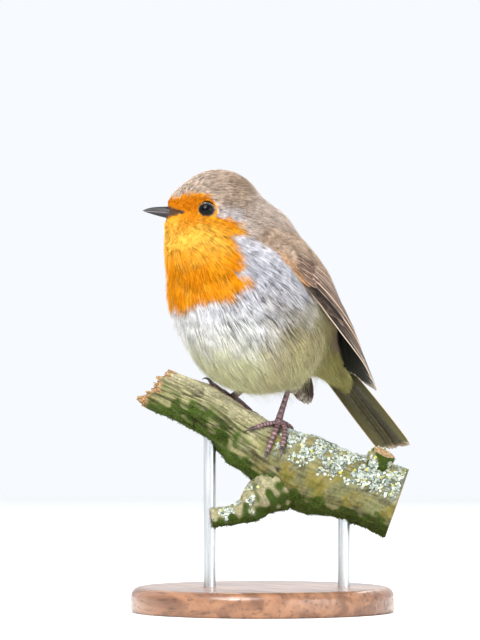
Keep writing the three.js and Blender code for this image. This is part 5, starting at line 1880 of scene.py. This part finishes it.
sow("lichen_lobes", LICHENED, 18500, 61, 1.7, 0.35, (0.3, 0.76), lobe_shape(), LICHEN)
sow("moss_shoots", MOSSY, 20000, 62, 1.5, 0.5, (0.3, 0.85), shoot_shape(), MOSS, least=0.6, sunk=0.15)

# %% [markdown]
# ## Stand
# The display stand is plain: a turned and varnished hardwood disc with two brushed steel rods. The disc is a
# lathe profile with a softened edge, and its finish has long grain lines with pores. Its solids are kept
# for the rods, which are already round, and replaced by a finer disc for the base.

# %% Stand
BASE_RADIUS, BASE_HEIGHT, EDGE_ROUND, BASE_SIDES = 47.0, 9.0, 3.5, 128
WOOD = Finish("stand_wood", Roughness=0.34, Coat_Weight=0.35, Coat_Roughness=0.12)
rings_wave = WOOD.noise(46, 4, 0.5, 0.8, at=WOOD.place((0.35, 3.2, 3.2)))
pores = WOOD.noise(700, 3, at=WOOD.place((0.08, 1, 1)))
wood_colour = WOOD.mix(rings_wave.ramp(0.35, 0.68), "6b4630", "94684a")
wood_colour = WOOD.mix(pores.ramp(0.5, 0.72, 0, 0.65), wood_colour, "3c2517")
WOOD.put("Base Color", wood_colour)
WOOD.put("Roughness", pores.ramp(0.4, 0.7, 0.3, 0.48))
WOOD.bump(pores, 0.15, 0.0002)
STEEL = Finish("stand_steel", Metallic=1.0, Roughness=0.3)
brushed = STEEL.noise(900, 3, at=STEEL.place((1, 1, 0.03)))
STEEL.put("Base Color", STEEL.mix(brushed.ramp(0.3, 0.7), "a9adb0", "cdd0d2"))
STEEL.put("Roughness", brushed.ramp(0.3, 0.7, 0.24, 0.42))
STEEL.bump(brushed, 0.1, 0.00005)

profile = [(0.001, 0), (30, 0), (BASE_RADIUS - 1, 0), (BASE_RADIUS - 0.3, 0.25), (BASE_RADIUS, 1.0)]
profile += [(BASE_RADIUS, 3), (BASE_RADIUS, BASE_HEIGHT - EDGE_ROUND)]
for tilt in np.linspace(0.1, 1, 12) * math.pi / 2:
    r = BASE_RADIUS - EDGE_ROUND * (1 - math.cos(tilt))
    profile.append((r, BASE_HEIGHT - EDGE_ROUND + EDGE_ROUND * math.sin(tilt)))
profile += [(BASE_RADIUS - 5, BASE_HEIGHT), (BASE_RADIUS - 20, BASE_HEIGHT), (0.001, BASE_HEIGHT)]
turn = round_turn(BASE_SIDES)
rings = [np.stack([r * np.cos(turn), r * np.sin(turn), np.full(BASE_SIDES, z)], 1) for r, z in profile]
points, faces = loft(rings)
base = mesh_of("base_disc", points, faces, WOOD, "stand_wood")
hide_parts("stand_base")
for name in ("stand_rod_1", "stand_rod_2"):
    rod = bpy.data.objects[name]
    rod.data.materials.clear()
    rod.data.materials.append(STEEL.material)

# %% [markdown]
# ## Floor, light and camera
# The model stands on a plain pale floor. A bird's plumage shows best in soft light from a high window, so
# there is one wide lamp above and to the left, a weaker one from the right, and a pale sky all round.

# %% Stage
FLOOR = Finish("floor", Roughness=0.9)
FLOOR.put("Base Color", FLOOR.mix(FLOOR.noise(6, 2).ramp(0.3, 0.7), "f1f1ef", "f5f5f3"))
bpy.ops.mesh.primitive_circle_add(vertices=128, radius=1.25, fill_type="NGON")
floor = bpy.context.object
floor.name = "floor"
floor.data.materials.append(FLOOR.material)

VIEW_AZIMUTH = math.radians(55)
RIGHT = np.array([math.cos(VIEW_AZIMUTH), math.sin(VIEW_AZIMUTH), 0])
TOWARDS = np.array([math.sin(VIEW_AZIMUTH), -math.cos(VIEW_AZIMUTH), 0])
AIM = RIGHT * -8 + UP * 104.2
CAMERA_DISTANCE, LENS, SENSOR = 1905.0, 300.0, 36.0


def facing(at, target):
    """Turns a lamp or camera at a place so that it looks at the target."""
    return (Vector(target) - Vector(at)).to_track_quat("-Z", "Y").to_euler()


def lamp(name, right, towards, up, size, power, tint):
    data = bpy.data.lights.new(name, "AREA")
    data.shape, data.size, data.energy, data.color = "DISK", size, power, tint
    made = linked(name, data)
    at = (AIM + RIGHT * right + TOWARDS * towards + UP * up) * MM
    made.location, made.rotation_euler = at, facing(at, AIM * MM)


lamp("key", -300, 560, 560, 0.6, 7.8, (1.0, 0.985, 0.95))
lamp("window", -300, 620, 380, 0.16, 2.4, (1.0, 0.99, 0.96))
lamp("fill", 620, 620, 60, 0.8, 6.0, (0.95, 0.98, 1.0))
lamp("rim", 150, -600, 520, 0.5, 5.0, (1.0, 1.0, 0.98))
world = bpy.data.worlds.new("sky")
world.use_nodes = True
sky = world.node_tree.nodes["Background"].inputs
sky["Color"].default_value, sky["Strength"].default_value = (0.93, 0.96, 1.0, 1.0), 1.0
bpy.context.scene.world = world
bpy.context.scene.view_settings.view_transform = "Standard"

camera_data = bpy.data.cameras.new("camera")
camera_data.lens, camera_data.sensor_width, camera_data.clip_end = LENS, SENSOR, 20
camera = linked("camera", camera_data)
camera_at = (AIM + TOWARDS * CAMERA_DISTANCE) * MM
camera.location, camera.rotation_euler = camera_at, facing(camera_at, AIM * MM)
bpy.context.scene.camera = camera
